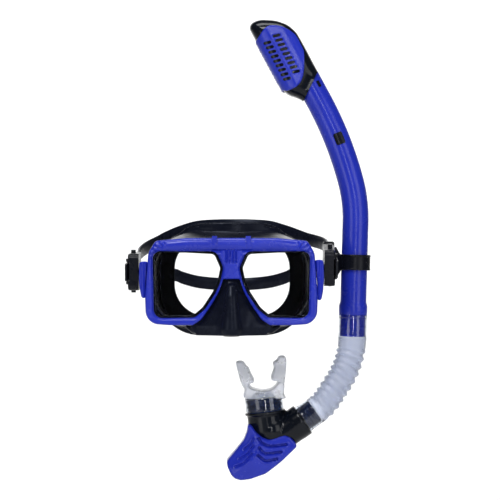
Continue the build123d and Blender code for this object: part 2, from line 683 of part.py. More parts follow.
# ---- flex hose ----------------------------------------------------------------------------------
HOSE_ARC_1 = (82.0, 31.4)
HOSE_RUN = 17.0
HOSE_ARC_2 = (50.0, 22.0)
HOSE_TAIL = 14.0
with BuildLine(depth(SNORKEL_Y)) as hose_path:
    hose_start = Line(straight_low, (straight_low[0] - 22 * sin(lean), straight_low[1] - 22 * cos(lean)))
    hose_bend_1 = JernArc(hose_start @ 1, hose_start % 1, HOSE_ARC_1[0], -HOSE_ARC_1[1])
    hose_run = Line(hose_bend_1 @ 1, (hose_bend_1 @ 1) + (hose_bend_1 % 1) * HOSE_RUN)
    hose_bend_2 = JernArc(hose_run @ 1, hose_run % 1, HOSE_ARC_2[0], -HOSE_ARC_2[1])
    hose_tail = Line(hose_bend_2 @ 1, (hose_bend_2 @ 1) + (hose_bend_2 % 1) * HOSE_TAIL)
hose_wire = hose_path.wires()[0]
with BuildPart() as flex_hose:
    with BuildSketch(ring_plane.offset(-STRAIGHT_DOWN)):
        Circle(HOSE_RADIUS)
        Circle(HOSE_BORE, mode=Mode.SUBTRACT)
    sweep(path=hose_wire)
save(flex_hose.part, "flex_hose")

# ---- elbow, mouthpiece, purge valve -------------------------------------------------------------
hose_end = Vector(hose_tail @ 1)
hose_way = Vector(hose_tail % 1)
port_plane = Plane(hose_end, x_dir=(0, 1, 0), z_dir=hose_way)
MOUTH_LEAN = radians(7.0)
mouth_base = Vector(31.5, SNORKEL_Y, -122.8)
mouth_up = Vector(-sin(MOUTH_LEAN), 0, cos(MOUTH_LEAN))
mouth_plane = Plane(mouth_base, x_dir=(cos(MOUTH_LEAN), 0, sin(MOUTH_LEAN)), z_dir=mouth_up)
chamber_centre = Vector(37.0, SNORKEL_Y, -141.0)
PURGE_LEAN = radians(22.9)
purge_way = Vector(-sin(PURGE_LEAN), 0, -cos(PURGE_LEAN))
purge_plane = Plane(chamber_centre, x_dir=(0, 1, 0), z_dir=purge_way)
CAP_OUTLINE = [
    (14.8, -136.0), (12.3, -148.7), (3.7, -160.2), (-5.4, -171.7), (-4, -179), (2, -186.5), (9.4, -188.4),
    (16.5, -187.9), (30.5, -183.2), (45.8, -171.7), (59.2, -160.6), (62.1, -155.4), (56.4, -147.2),
    (50, -144.8), (44, -147.5), (36, -149.5), (26.7, -145.5),
]
CAP_HALF_DEPTH = 21.0
CAP_WALL = 2.0
with BuildSketch(depth(SNORKEL_Y + CAP_HALF_DEPTH)) as cap_outline:
    with BuildLine():
        Polyline(*CAP_OUTLINE, close=True)
    make_face()

with BuildPart() as elbow:
    with BuildSketch(port_plane.offset(-13.6)):
        Circle(HOSE_BORE - 0.1)
    extrude(amount=14)
    with BuildSketch(port_plane):
        Circle(15.6)
    extrude(amount=26)
    with BuildSketch(mouth_plane.offset(-20)):
        Circle(17.6)
    extrude(amount=20)
    with BuildSketch(mouth_plane.offset(-2.4)):
        Circle(19.4)
    extrude(amount=2.4)
    with Locations(chamber_centre):
        Sphere(18.0)
    with BuildSketch(port_plane.offset(-20)):
        Circle(9.6)
    extrude(amount=44, mode=Mode.SUBTRACT)
    with BuildSketch(mouth_plane.offset(-16)):
        Circle(15.4)
    extrude(amount=20, mode=Mode.SUBTRACT)
    with Locations(chamber_centre):
        Sphere(15.8, mode=Mode.SUBTRACT)
    extrude(cap_outline.sketch, amount=2 * CAP_HALF_DEPTH, mode=Mode.SUBTRACT)
save(elbow.part, "elbow")

with BuildPart() as cap:
    extrude(cap_outline.sketch, amount=2 * CAP_HALF_DEPTH)
    flank_edges = cap.faces().sort_by(Axis.Y)[0].edges() + cap.faces().sort_by(Axis.Y)[-1].edges()
    chamfer(flank_edges, 1.6)
    with BuildSketch(depth(SNORKEL_Y + CAP_HALF_DEPTH - CAP_WALL)) as hollow:
        with BuildLine():
            Polyline(*CAP_OUTLINE, close=True)
        make_face()
        offset(amount=-CAP_WALL)
    extrude(hollow.sketch, amount=2 * (CAP_HALF_DEPTH - CAP_WALL), mode=Mode.SUBTRACT)
    with BuildSketch(purge_plane):
        Circle(12.0)
    extrude(amount=17, mode=Mode.SUBTRACT)
    for left_x, right_x, z in [(29, 52, -157.5), (31, 47, -163.5), (28, 43, -169.5)]:
        with BuildSketch(depth(SNORKEL_Y + 30)):
            with Locations(((left_x + right_x) / 2, z)):
                RectangleRounded(right_x - left_x, 2.4, 1)
        extrude(amount=60, mode=Mode.SUBTRACT)
save(cap.part, "purge_cap")

SEAT_DOWN = 16.0
with BuildPart() as purge_seat:
    with BuildSketch(purge_plane.offset(SEAT_DOWN)):
        Circle(13.6)
        Circle(10.6, mode=Mode.SUBTRACT)
        Circle(3.4)
        with PolarLocations(0, 4):
            Rectangle(24, 1.8)
        Circle(1.3, mode=Mode.SUBTRACT)
    extrude(amount=2.0)
save(purge_seat.part, "purge_seat")

with BuildPart() as purge_valve:
    with BuildSketch(purge_plane.offset(SEAT_DOWN + 2.3)):
        Circle(12.4)
    extrude(amount=1.0)
    with BuildSketch(purge_plane.offset(SEAT_DOWN - 3.6)):
        Circle(1.2)
    extrude(amount=6.2)
save(purge_valve.part, "purge_valve")

# the mouthpiece: neck over the elbow's port, U-shaped shield, bite tabs
NECK_HEIGHT = 17.0
SHIELD_HALF = 24.4
SHIELD_TOP = 52.0
mouth_side = Plane(mouth_base, x_dir=mouth_plane.x_dir, z_dir=(0, -1, 0))
with BuildPart() as mouthpiece:
    with BuildSketch(mouth_plane.offset(0.05)):
        Circle(18.6)
    extrude(amount=NECK_HEIGHT + 3)
    with BuildSketch(mouth_side.offset(-15)):
        with BuildLine():
            FilletPolyline(
                (-SHIELD_HALF, SHIELD_TOP), (-SHIELD_HALF, NECK_HEIGHT), (SHIELD_HALF, NECK_HEIGHT),
                (SHIELD_HALF, SHIELD_TOP), (SHIELD_HALF - 9, SHIELD_TOP), (SHIELD_HALF - 9, NECK_HEIGHT + 4),
                (-SHIELD_HALF + 9, NECK_HEIGHT + 4), (-SHIELD_HALF + 9, SHIELD_TOP),
                radius=[3.9, 8, 8, 4, 4, 4, 4, 4], close=True,
            )
        make_face()
    extrude(amount=30)
    with BuildSketch(mouth_plane.offset(-1)):
        Circle(13.0)
    extrude(amount=NECK_HEIGHT + 8, mode=Mode.SUBTRACT)
save(mouthpiece.part, "mouthpiece")
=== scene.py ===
import json
from math import cos, pi, radians, sin, tau

import bmesh
import bpy
import numpy as np
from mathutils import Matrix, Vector
from mathutils.geometry import delaunay_2d_cdt

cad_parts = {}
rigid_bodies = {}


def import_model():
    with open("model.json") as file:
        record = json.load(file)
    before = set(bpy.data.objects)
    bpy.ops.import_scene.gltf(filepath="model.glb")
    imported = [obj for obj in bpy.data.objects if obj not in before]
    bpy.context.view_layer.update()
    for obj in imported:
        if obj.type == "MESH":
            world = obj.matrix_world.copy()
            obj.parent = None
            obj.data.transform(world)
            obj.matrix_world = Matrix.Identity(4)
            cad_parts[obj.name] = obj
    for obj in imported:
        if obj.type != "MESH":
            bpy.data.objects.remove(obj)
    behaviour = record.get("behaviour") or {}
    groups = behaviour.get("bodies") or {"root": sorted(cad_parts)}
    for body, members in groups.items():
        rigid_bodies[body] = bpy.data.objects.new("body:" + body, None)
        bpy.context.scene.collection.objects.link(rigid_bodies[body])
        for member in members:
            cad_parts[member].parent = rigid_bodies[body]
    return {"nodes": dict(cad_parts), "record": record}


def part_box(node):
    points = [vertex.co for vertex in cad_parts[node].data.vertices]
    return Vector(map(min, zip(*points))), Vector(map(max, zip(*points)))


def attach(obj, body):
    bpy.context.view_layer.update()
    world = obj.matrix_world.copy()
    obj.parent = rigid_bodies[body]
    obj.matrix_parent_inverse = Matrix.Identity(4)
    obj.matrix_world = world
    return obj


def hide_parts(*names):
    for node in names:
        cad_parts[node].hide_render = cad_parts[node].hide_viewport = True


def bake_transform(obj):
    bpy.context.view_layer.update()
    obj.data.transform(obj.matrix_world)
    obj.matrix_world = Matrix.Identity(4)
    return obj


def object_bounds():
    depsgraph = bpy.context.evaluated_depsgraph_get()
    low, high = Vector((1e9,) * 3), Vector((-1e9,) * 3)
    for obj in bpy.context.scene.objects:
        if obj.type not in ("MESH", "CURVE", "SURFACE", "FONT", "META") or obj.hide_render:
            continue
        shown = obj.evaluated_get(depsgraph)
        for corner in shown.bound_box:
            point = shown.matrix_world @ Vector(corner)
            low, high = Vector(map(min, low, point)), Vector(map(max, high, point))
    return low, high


# A two-window diving mask with a dry-top snorkel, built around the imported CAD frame.
# Metres. +X is the wearer's left, +Y points from the lenses to the face, +Z is up.

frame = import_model()
cad_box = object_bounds()
nodes = frame["nodes"]
MM = 0.001


# ---- node material helpers ----
def new_material(name):
    """An empty node material with its Principled shader."""
    material = bpy.data.materials.new(name)
    material.use_nodes = True
    return material, material.node_tree, material.node_tree.nodes["Principled BSDF"]


def add_node(tree, kind, **settings):
    node = tree.nodes.new(kind)
    for key, value in settings.items():
        if key in node.inputs:
            node.inputs[key].default_value = value
        else:
            setattr(node, key, value)
    return node


def noise(tree, scale, detail=4.0, roughness=0.55, stretch=(1, 1, 1)):
    """Object-space noise; the stretch squeezes it along an axis."""
    place = add_node(tree, "ShaderNodeTexCoord")
    mapping = add_node(tree, "ShaderNodeMapping")
    mapping.inputs["Scale"].default_value = stretch
    texture = add_node(tree, "ShaderNodeTexNoise", Scale=scale, Detail=detail, Roughness=roughness)
    tree.links.new(place.outputs["Object"], mapping.inputs["Vector"])
    tree.links.new(mapping.outputs["Vector"], texture.inputs["Vector"])
    return texture.outputs["Fac"]


def remap(tree, value, low, high, out_low, out_high):
    node = add_node(tree, "ShaderNodeMapRange")
    for key, number in (("From Min", low), ("From Max", high), ("To Min", out_low), ("To Max", out_high)):
        node.inputs[key].default_value = number
    tree.links.new(value, node.inputs["Value"])
    return node.outputs["Result"]


def mix_colours(tree, factor, first, second):
    node = add_node(tree, "ShaderNodeMix", data_type="RGBA")
    node.inputs["A"].default_value = (*first, 1)
    node.inputs["B"].default_value = (*second, 1)
    tree.links.new(factor, node.inputs["Factor"])
    return node.outputs["Result"]


def surface(name, patterns, colours, tone, gloss, bumps, **constants):
    """A material drawn from named noise patterns.

    The tone (pattern, low, high) mixes the two colours. The gloss (pattern, low, high, roughness at each)
    sets the roughness. Each bump (pattern, strength, distance) is chained to the one before. The constants
    go to the shader's own sockets; _ stands for a space in their names.
    """
    material, tree, shader = new_material(name)
    fields = {key: noise(tree, *settings) for key, settings in patterns.items()}
    factor = remap(tree, fields[tone[0]], *tone[1:], 0, 1)
    tree.links.new(mix_colours(tree, factor, *colours), shader.inputs["Base Color"])
    tree.links.new(remap(tree, fields[gloss[0]], *gloss[1:]), shader.inputs["Roughness"])
    for key, value in constants.items():
        shader.inputs[key.replace("_", " ")].default_value = value
    last = None
    for pattern, strength, distance_m in bumps:
        node = add_node(tree, "ShaderNodeBump", Strength=strength, Distance=distance_m)
        tree.links.new(fields[pattern], node.inputs["Height"])
        if last is not None:
            tree.links.new(last, node.inputs["Normal"])
        last = node.outputs["Normal"]
    if last is not None:
        tree.links.new(last, shader.inputs["Normal"])
    return material


def moulded_plastic(name, dark, light, rough, specular, grain, coat=0.0):
    """Moulded plastic: faint flow marks in the colour, uneven gloss, a light orange peel."""
    return surface(
        name, {"flow": (38, 5, 0.6, (1, 1, 0.35)), "fine": (900, 3, 0.6), "smudge": (70, 6, 0.65)},
        (dark, light), ("flow", 0.35, 0.68), ("smudge", 0.35, 0.7, rough * 0.75, rough * 1.35),
        (("flow", grain * 0.5, 0.0004), ("fine", grain, 0.00005)),
        Specular_IOR_Level=specular, Coat_Weight=coat, Coat_Roughness=0.12)


def soft_silicone(name, dark, light, rough):
    """Black liquid silicone: satin, with a fine matt bloom and a few flow marks."""
    return surface(
        name, {"flow": (24, 6, 0.6), "fine": (1500, 4, 0.7), "bloom": (120, 6, 0.7)},
        (dark, light), ("bloom", 0.38, 0.7), ("flow", 0.3, 0.7, rough * 0.8, rough * 1.3),
        (("flow", 0.1, 0.0006), ("fine", 0.2, 0.00004)),
        IOR=1.22, Specular_Tint=(0.75, 0.82, 1.0, 1.0), Sheen_Weight=0.02, Sheen_Roughness=0.4)


def clear_silicone(name, tint, clouded, rough, clear):
    """Translucent silicone: most light passes, clouded a little by its own thickness."""
    return surface(
        name, {"cloud": (90, 5, 0.6), "fine": (700, 3, 0.6)},
        (tint, clouded), ("cloud", 0.35, 0.7), ("cloud", 0.3, 0.7, rough * 0.7, rough * 1.3),
        (("cloud", 0.08, 0.0004), ("fine", 0.06, 0.00005)),
        IOR=1.41, Transmission_Weight=clear, Subsurface_Weight=0.15, Subsurface_Radius=(0.004, 0.004, 0.005))


def lens_glass():
    """Tempered glass: clear, with the faintest film of handling marks on its gloss."""
    return surface(
        "tempered_glass", {"film": (45, 6, 0.7)}, ((0.985, 0.99, 0.995), (0.96, 0.975, 0.985)),
        ("film", 0, 1), ("film", 0.45, 0.8, 0.0, 0.03), (), Transmission_Weight=1.0, IOR=1.2)


def brushed_metal():
    return surface(
        "stainless_steel", {"grain": (500, 4, 0.6, (1, 1, 0.05))}, ((0.5, 0.5, 0.52), (0.68, 0.68, 0.7)),
        ("grain", 0, 1), ("grain", 0.3, 0.7, 0.22, 0.4), (("grain", 0.15, 0.00005),), Metallic=1.0)


# name, darker colour, lighter colour, roughness, specular level, grain, coat
BLUE = moulded_plastic(
    "blue_gloss_plastic", (0.012, 0.024, 0.38), (0.015, 0.030, 0.43), 0.24, 0.28, 0.02, 0.1)
BLACK_GLOSS = moulded_plastic(
    "black_gloss_plastic", (0.002, 0.003, 0.006), (0.004, 0.006, 0.011), 0.15, 0.2, 0.04, 0.06)
BLACK_SATIN = moulded_plastic(
    "black_satin_plastic", (0.003, 0.0035, 0.007), (0.006, 0.007, 0.012), 0.26, 0.16, 0.08)
GREY_SATIN = moulded_plastic(
    "grey_satin_plastic", (0.006, 0.007, 0.010), (0.010, 0.011, 0.015), 0.3, 0.22, 0.12)
SMOKE = moulded_plastic("smoke_blue_plastic", (0.005, 0.014, 0.055), (0.009, 0.022, 0.075), 0.22, 0.3, 0.08)
FOAM = moulded_plastic("float_foam", (0.62, 0.63, 0.66), (0.72, 0.73, 0.76), 0.6, 0.3, 0.5)
BLACK_RUBBER = soft_silicone("black_silicone", (0.0035, 0.0045, 0.010), (0.006, 0.0075, 0.015), 0.27)
# name, tint, clouded tint, roughness, transmission
CLEAR_RUBBER = clear_silicone("clear_silicone", (0.75, 0.79, 0.90), (0.64, 0.69, 0.82), 0.12, 0.76)
MILKY_RUBBER = clear_silicone("milky_silicone", (0.86, 0.88, 0.94), (0.77, 0.80, 0.88), 0.3, 0.35)
CUFF_RUBBER = clear_silicone("clear_cuff_silicone", (0.90, 0.93, 0.98), (0.84, 0.88, 0.96), 0.05, 1.0)

SLOT_MATERIALS = {
    "blue_gloss": BLUE, "black_gloss": BLACK_GLOSS, "black_plastic": BLACK_SATIN, "float_foam": FOAM,
    "grey_plastic": GREY_SATIN, "steel": brushed_metal(), "lens_glass": lens_glass(),
    "black_silicone": BLACK_RUBBER, "clear_silicone": CLEAR_RUBBER,
}
slot_of = {part["node"]: part["material_slot"] for part in frame["record"]["subparts"]}


def dress_cad_nodes():
    """Give every carried-over CAD node the procedural material of its slot."""
    for node, obj in nodes.items():
        for part in [obj] + list(obj.children_recursive):
            if part.type != "MESH":
                continue
            if not part.material_slots:
                part.data.materials.append(None)
            for slot in part.material_slots:
                slot.material = SLOT_MATERIALS[slot_of[node]]


# ---- mesh helpers: shapes are made in millimetres and placed in metres ----
def new_object(name, data):
    obj = bpy.data.objects.new(name, data)
    bpy.context.scene.collection.objects.link(obj)
    return obj


def new_piece(name, points, faces, material, body=None, replaced=(), sharp=38.0):
    """A closed shape as a scene object, riding on a body of the record."""
    mesh = bpy.data.meshes.new(name)
    corners = [tuple(float(c) * MM for c in p) for p in points]
    mesh.from_pydata(corners, [], [tuple(map(int, f)) for f in faces])
    work = bmesh.new()
    work.from_mesh(mesh)
    bmesh.ops.remove_doubles(work, verts=work.verts, dist=1e-6)
    bmesh.ops.recalc_face_normals(work, faces=work.faces)
    work.to_mesh(mesh)
    work.free()
    obj = new_object(name, mesh)
    finish_piece(obj, material, body, replaced, sharp)
    return obj


def finish_piece(obj, material, body, replaced=(), sharp=38.0):
    obj.data.materials.clear()
    obj.data.materials.append(material)
    obj.data.shade_smooth()
    obj.data.set_sharp_from_angle(angle=radians(sharp))
    if body:
        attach(obj, body)
    if replaced:
        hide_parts(*replaced)


def joined(shapes):
    """Several (points, faces) shapes as one."""
    points, faces = [], []
    for shape_points, shape_faces in shapes:
        base = len(points)
        points.extend(shape_points)
        faces.extend([tuple(i + base for i in face) for face in shape_faces])
    return points, faces


def skin(rings, loop=False):
    """Quads over rings of equal length; a loop joins last to first, otherwise both ends are capped."""
    rings = [np.asarray(r, float) for r in rings]
    size = len(rings[0])
    points = np.concatenate(rings)
    faces = []
    last = len(rings) if loop else len(rings) - 1
    for i in range(last):
        a, b = i * size, ((i + 1) % len(rings)) * size
        for j in range(size):
            k = (j + 1) % size
            faces.append((a + j, a + k, b + k, b + j))
    if not loop:
        faces.append(tuple(range(size))[::-1])
        faces.append(tuple(range(len(points) - size, len(points))))
    return [tuple(p) for p in points], faces


def frame_at(origin, axis, side=(0, 1, 0)):
    """An origin with three unit directions: across, side, along the axis."""
    along = np.array(axis, float) / np.linalg.norm(axis)
    side = np.array(side, float) - along * np.dot(side, along)
    side /= np.linalg.norm(side)
    return np.array(origin, float), np.cross(side, along), side, along


def circle(place, radius, height=0.0, count=64, squash=1.0):
    """A ring about a frame's axis, squashed along the frame's side."""
    origin, across, side, along = place
    angles = np.arange(count) / count * tau
    return (origin + along * height + np.outer(np.cos(angles) * radius, across)
            + np.outer(np.sin(angles) * radius * squash, side))


def turned(place, profile, count=64, squash=1.0):
    """Turn a closed profile of (radius, height) about the frame's axis."""
    return skin([circle(place, r, h, count, squash) for r, h in profile], loop=True)


def rounded(profile, amount=0.5, steps=3):
    """Round the corners of a closed or open profile of (a, b) pairs."""
    result = []
    count = len(profile)
    for i in range(count):
        before, here, after = (np.array(profile[(i + d) % count], float) for d in (-1, 0, 1))
        in_len, out_len = np.linalg.norm(before - here), np.linalg.norm(after - here)
        cut = min(amount, in_len * 0.45, out_len * 0.45)
        start = here + (before - here) / in_len * cut
        end = here + (after - here) / out_len * cut
        for s in range(steps + 1):
            t = s / steps
            result.append(tuple((1 - t) ** 2 * start + 2 * t * (1 - t) * here + t * t * end))
    return result


def resampled(loop, spacing):
    """Evenly spaced points along a closed polyline."""
    loop = np.asarray(loop, float)
    closed = np.vstack([loop, loop[:1]])
    lengths = np.concatenate([[0], np.cumsum(np.linalg.norm(np.diff(closed, axis=0), axis=1))])
    count = max(8, int(round(lengths[-1] / spacing)))
    at = np.arange(count) / count * lengths[-1]
    return np.stack([np.interp(at, lengths, closed[:, k]) for k in range(loop.shape[1])], axis=1)


def smooth_line(points, steps=12, closed=False):
    """A Catmull-Rom curve through points."""
    pts = [np.array(p, float) for p in points]
    result = []
    count = len(pts)
    spans = count if closed else count - 1
    for i in range(spans):
        p1, p2 = pts[i], pts[(i + 1) % count]
        p0 = pts[i - 1] if (closed or i > 0) else 2 * p1 - p2
        p3 = pts[(i + 2) % count] if (closed or i + 2 < count) else 2 * p2 - p1
        for s in range(steps):
            t = s / steps
            result.append(0.5 * (2 * p1 + (p2 - p0) * t + (2 * p0 - 5 * p1 + 4 * p2 - p3) * t * t
                                 + (3 * p1 - p0 - 3 * p2 + p3) * t ** 3))
    if not closed:
        result.append(pts[-1])
    return np.array(result)


def inside(points, loop):
    """Even-odd test of points against a closed polyline."""
    x, z = points[:, 0][:, None], points[:, 1][:, None]
    x1, z1 = loop[:, 0][None], loop[:, 1][None]
    x2, z2 = np.roll(loop[:, 0], -1)[None], np.roll(loop[:, 1], -1)[None]
    crossing = (z1 > z) != (z2 > z)
    with np.errstate(divide="ignore", invalid="ignore"):
        reach = (x2 - x1) * (z - z1) / (z2 - z1) + x1
    return (np.sum(crossing & (x < reach), axis=1) % 2).astype(bool)


def distance(points, line, closed=True):
    """Distance of points to a polyline."""
    line = np.asarray(line, float)
    nxt = np.roll(line, -1, axis=0) if closed else line[1:]
    start = line if closed else line[:-1]
    span = nxt - start
    length = np.linalg.norm(span, axis=1)
    best = np.full(len(points), 1e9)
    batch = 4000
    for low in range(0, len(points), batch):
        part = points[low:low + batch]
        to = part[:, None, :] - start[None]
        t = np.clip(np.sum(to * span[None], axis=2) / np.maximum(length ** 2, 1e-12)[None], 0, 1)
        best[low:low + batch] = np.linalg.norm(to - t[..., None] * span[None], axis=2).min(axis=1)
    return best


def filled(outer, holes, spacing):
    """Triangles over an outline with holes."""
    loops = [resampled(outer, spacing)] + [resampled(h, min(spacing, 0.8)) for h in holes]
    low, high = loops[0].min(axis=0), loops[0].max(axis=0)
    rows = np.arange(low[1], high[1], spacing * 0.87)
    grid_x, grid_z = np.meshgrid(np.arange(low[0], high[0], spacing), rows)
    grid_x[1::2] += spacing / 2
    grid = np.stack([grid_x.ravel(), grid_z.ravel()], axis=1)

    def within(places):
        keep = inside(places, loops[0])
        for hole in loops[1:]:
            keep &= ~inside(places, hole)
        return keep

    grid = grid[within(grid)]
    verts, edges, base = [], [], 0
    for loop in loops:
        grid = grid[distance(grid, loop) > spacing * 0.45]
        count = len(loop)
        verts.extend(map(tuple, loop))
        edges.extend((base + i, base + (i + 1) % count) for i in range(count))
        base += count
    verts.extend(map(tuple, grid))
    found = delaunay_2d_cdt([Vector(v) for v in verts], edges, [], 0, 1e-5)
    points = np.array([tuple(v) for v in found[0]])
    triangles = np.array([tuple(f) for f in found[2]])
    return points, triangles[within(points[triangles].mean(axis=1))]


def slab_between(outer, holes, spacing, front, back, place):
    """A solid between two height functions over an outline; place maps (a, b, height) to the frame."""
    points, triangles = filled(outer, holes, spacing)
    count = len(points)
    verts = np.vstack([place(points, front(points)), place(points, back(points))])
    faces = [tuple(t) for t in triangles] + [tuple(t[::-1] + count) for t in triangles]
    seen = {edge: True for a, b, c in triangles for edge in ((a, b), (b, c), (c, a))}
    faces += [(b, a, a + count, b + count) for a, b in seen if (b, a) not in seen]
    return [tuple(v) for v in verts], faces


def facing(points, y):
    """Place upright shapes: a is X, b is Z, the height is the depth Y."""
    return np.stack([points[:, 0], y, points[:, 1]], axis=1)


def step(value, low, high):
    t = np.clip((value - low) / (high - low), 0, 1)
    return t * t * (3 - 2 * t)


def edge_round(gap, radius):
    """How far a surface has dropped this near to its edge, for a quarter-round edge."""
    inner = np.clip(1 - gap / radius, 0, 1)
    return radius * (1 - np.sqrt(np.clip(1 - inner ** 2, 0, 1)))


def cad_work(node):
    """A copy of a CAD node's mesh in the shared frame, with its corners joined."""
    work = bmesh.new()
    for part in [nodes[node]] + list(nodes[node].children_recursive):
        if part.type == "MESH":
            copy = part.data.copy()
            copy.transform(part.matrix_world)
            work.from_mesh(copy)
            bpy.data.meshes.remove(copy)
    bmesh.ops.remove_doubles(work, verts=work.verts, dist=1e-6)
    return work


def section_loops(node, y):
    """The closed outlines, in millimetres, where a CAD node crosses the depth y."""
    work = cad_work(node)
    everything = list(work.verts) + list(work.edges) + list(work.faces)
    cut = bmesh.ops.bisect_plane(
        work, geom=everything, plane_co=(0, y * MM, 0), plane_no=(0, 1, 0), dist=1e-7)
    links = {}
    for item in cut["geom_cut"]:
        if isinstance(item, bmesh.types.BMEdge):
            a, b = item.verts
            links.setdefault(a, []).append(b)
            links.setdefault(b, []).append(a)
    loops = []
    while links:
        start = next(iter(links))
        loop, here, previous = [], start, None
        while here in links:
            loop.append((here.co.x / MM, here.co.z / MM))
            onward = [v for v in links.pop(here) if v is not previous and v in links]
            previous, here = here, (onward[0] if onward else None)
        if len(loop) > 4:
            loops.append(np.array(loop))
    work.free()
    return sorted(loops, key=lambda l: -np.ptp(l[:, 0]))


def cad_shape(node):
    """A copy of a CAD node's mesh, in millimetres."""
    work = cad_work(node)
    work.verts.ensure_lookup_table()
    points = [tuple(c / MM for c in v.co) for v in work.verts]
    faces = [tuple(v.index for v in f.verts) for f in work.faces]
    work.free()
    return points, faces


def melted(name, shapes, voxel, passes, material, body, replaced, reshape=None):
    """Fuse closed shapes into one moulded skin, soften it, and adjust its points."""
    points, faces = joined(shapes)
    rough = new_piece(name + "_rough", points, faces, material)
    fuse = rough.modifiers.new("fuse", "REMESH")
    fuse.mode = "VOXEL"
    fuse.voxel_size = voxel * MM
    soften = rough.modifiers.new("soften", "SMOOTH")
    soften.iterations = passes
    soften.factor = 0.5
    bpy.context.view_layer.update()
    graph = bpy.context.evaluated_depsgraph_get()
    mesh = bpy.data.meshes.new_from_object(rough.evaluated_get(graph))
    bpy.data.objects.remove(rough)
    mesh.name = name
    if reshape:
        flat = np.empty(len(mesh.vertices) * 3)
        mesh.vertices.foreach_get("co", flat)
        moved = reshape(flat.reshape(-1, 3) / MM) * MM
        mesh.vertices.foreach_set("co", moved.ravel())
        mesh.update()
    obj = new_object(name, mesh)
    finish_piece(obj, material, body, replaced, sharp=60.0)


# ---- mask: bezel ----
BEZEL_FACE = -50.0
LENS_FACE = -47.0
BEZEL_REAR = -44.0
BAR_LOW = 30.6
SECTION_DEPTH = -48.3
CLIP_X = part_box("frame_clip_left")[0][0] / MM + 2.3


def build_bezel():
    """Blue front frame: rolled brow bar, flat rims with an inner bevel, fluted bridge, corner grips."""
    outer, first, second = section_loops("front_bezel", SECTION_DEPTH)[:3]
    outer_even = resampled(outer, 0.8)

    def front(points):
        x, z = points[:, 0], points[:, 1]
        edge = distance(points, outer_even)
        window = np.minimum(distance(points, first), distance(points, second))
        flat = BEZEL_FACE + 0.15 * step(edge, 1.5, 5)
        bevel = 2.6 * np.clip(1 - window / 1.9, 0, 1)
        rim = flat + bevel + edge_round(edge, 1.9) * 0.9
        # the brow bar is a roll, split into three lengths by the clips
        across = np.clip(edge / 11.4, 0, 1)
        roll_height = 4.1 * np.clip(1 - (2 * across - 1) ** 2, 0, 1) ** 0.55
        roll = -47.2 - roll_height
        middle = step(abs(x), CLIP_X - 1.0, CLIP_X - 2.2)
        roll += 0.75 * middle * step(z, 31, 33)
        near_clip = np.exp(-((abs(x) - CLIP_X - 3.4) / 0.7) ** 2)
        roll += 0.5 * near_clip
        bar = step(z, BAR_LOW - 0.4, BAR_LOW + 0.4) * step(edge, 11.6, 11.0)
        corner = step(abs(x), 70.5, 73) * step(z, 24.5, 29)
        bar = np.maximum(bar, corner * step(edge, 7.5, 6.0))
        face = rim * (1 - bar) + np.minimum(roll, -47.4) * bar
        # grips: ribs across the bar's outer corners
        grip = step(z, 23, 25) * step(abs(x), 60, 61)
        turn = np.degrees(np.arctan2(z - 24.0, abs(x) - 55.0))
        ribs = 0.75 * np.clip(np.sin(turn / 13.0 * tau), -0.7, 1)
        face -= grip * ribs * step(edge, 0.5, 2.0) * step(window, 1.5, 2.5)
        # flutes down the bridge
        flute = np.clip(np.cos((x - 1.45) / 2.9 * tau), -0.2, 1)
        zone = step(abs(x), 6.4, 5.7) * step(z, 18.8, 20.2) * step(z, 32.4, 31.2)
        face -= 1.7 * flute * zone
        # tilted flats above the windows' inner corners
        wedge = step(abs(x), 9.4, 10.2) * step(abs(x), 21.5, 18.5) * step(z, 26.4, 27.2) * (z < BAR_LOW + 1.2)
        tilted = BEZEL_FACE - 0.6 + 0.75 * (z - 27.0)
        face = np.where(wedge > 0, face * (1 - wedge) + tilted * wedge, face)
        # the sides step back a little below the grips
        face += 0.5 * step(abs(x), 77.2, 78.2) * step(z, 27, 24)
        return face

    def back(points):
        window = np.minimum(distance(points, first), distance(points, second))
        return np.where(window < 2.4, LENS_FACE - 0.02, BEZEL_REAR)

    shape = slab_between(outer, [first, second], 0.75, front, back, facing)
    new_piece("brow_frame", *shape, BLUE, "mask", ("front_bezel",), sharp=50)


def build_window_lips():
    """The skirt's black lips, seen through the lenses as a dark border."""
    for window, side in zip(section_loops("front_bezel", SECTION_DEPTH)[1:3], ("a", "b")):
        loop = resampled(window, 0.8)
        ahead, behind = np.roll(loop, -1, axis=0), np.roll(loop, 1, axis=0)
        tangent = ahead - behind
        normal = np.stack([-tangent[:, 1], tangent[:, 0]], axis=1) / np.linalg.norm(tangent, axis=1)[:, None]
        if inside((loop + normal)[:1], loop)[0]:
            normal = -normal
        centre = loop.mean(axis=0)
        towards_nose = np.clip(-(loop[:, 0] - centre[0]) * np.sign(centre[0]) / 30, 0, 1)
        width = 1.3 + 1.5 * towards_nose + 0.7 * np.clip(-(loop[:, 1] - centre[1]) / 30, 0, 1)
        rings = []
        for reach, y in rounded([(1.0, -43.95), (-1.0, -43.95), (-1.0, -41.8), (1.0, -41.8)], 0.5):
            line = loop + normal * (np.where(reach < 0, -width, 1.2) * abs(reach))[:, None]
            rings.append(facing(line, np.full(len(line), y)))
        new_piece(f"window_lip_{side}", *skin(rings, loop=True), BLACK_RUBBER, "mask")


# ---- mask: skirt ----
FACE_RADIUS = 105.0


def rounded_outline(width, height, corner, middle, spacing=1.5):
    half_w, half_h = width / 2 - corner, height / 2 - corner
    line = []
    for quarter, (right, up) in enumerate(((1, 1), (-1, 1), (-1, -1), (1, -1))):
        for k in range(17):
            angle = (quarter + k / 16) * pi / 2
            line.append((right * half_w + corner * cos(angle), middle + up * half_h + corner * sin(angle)))
    return resampled(line, spacing)


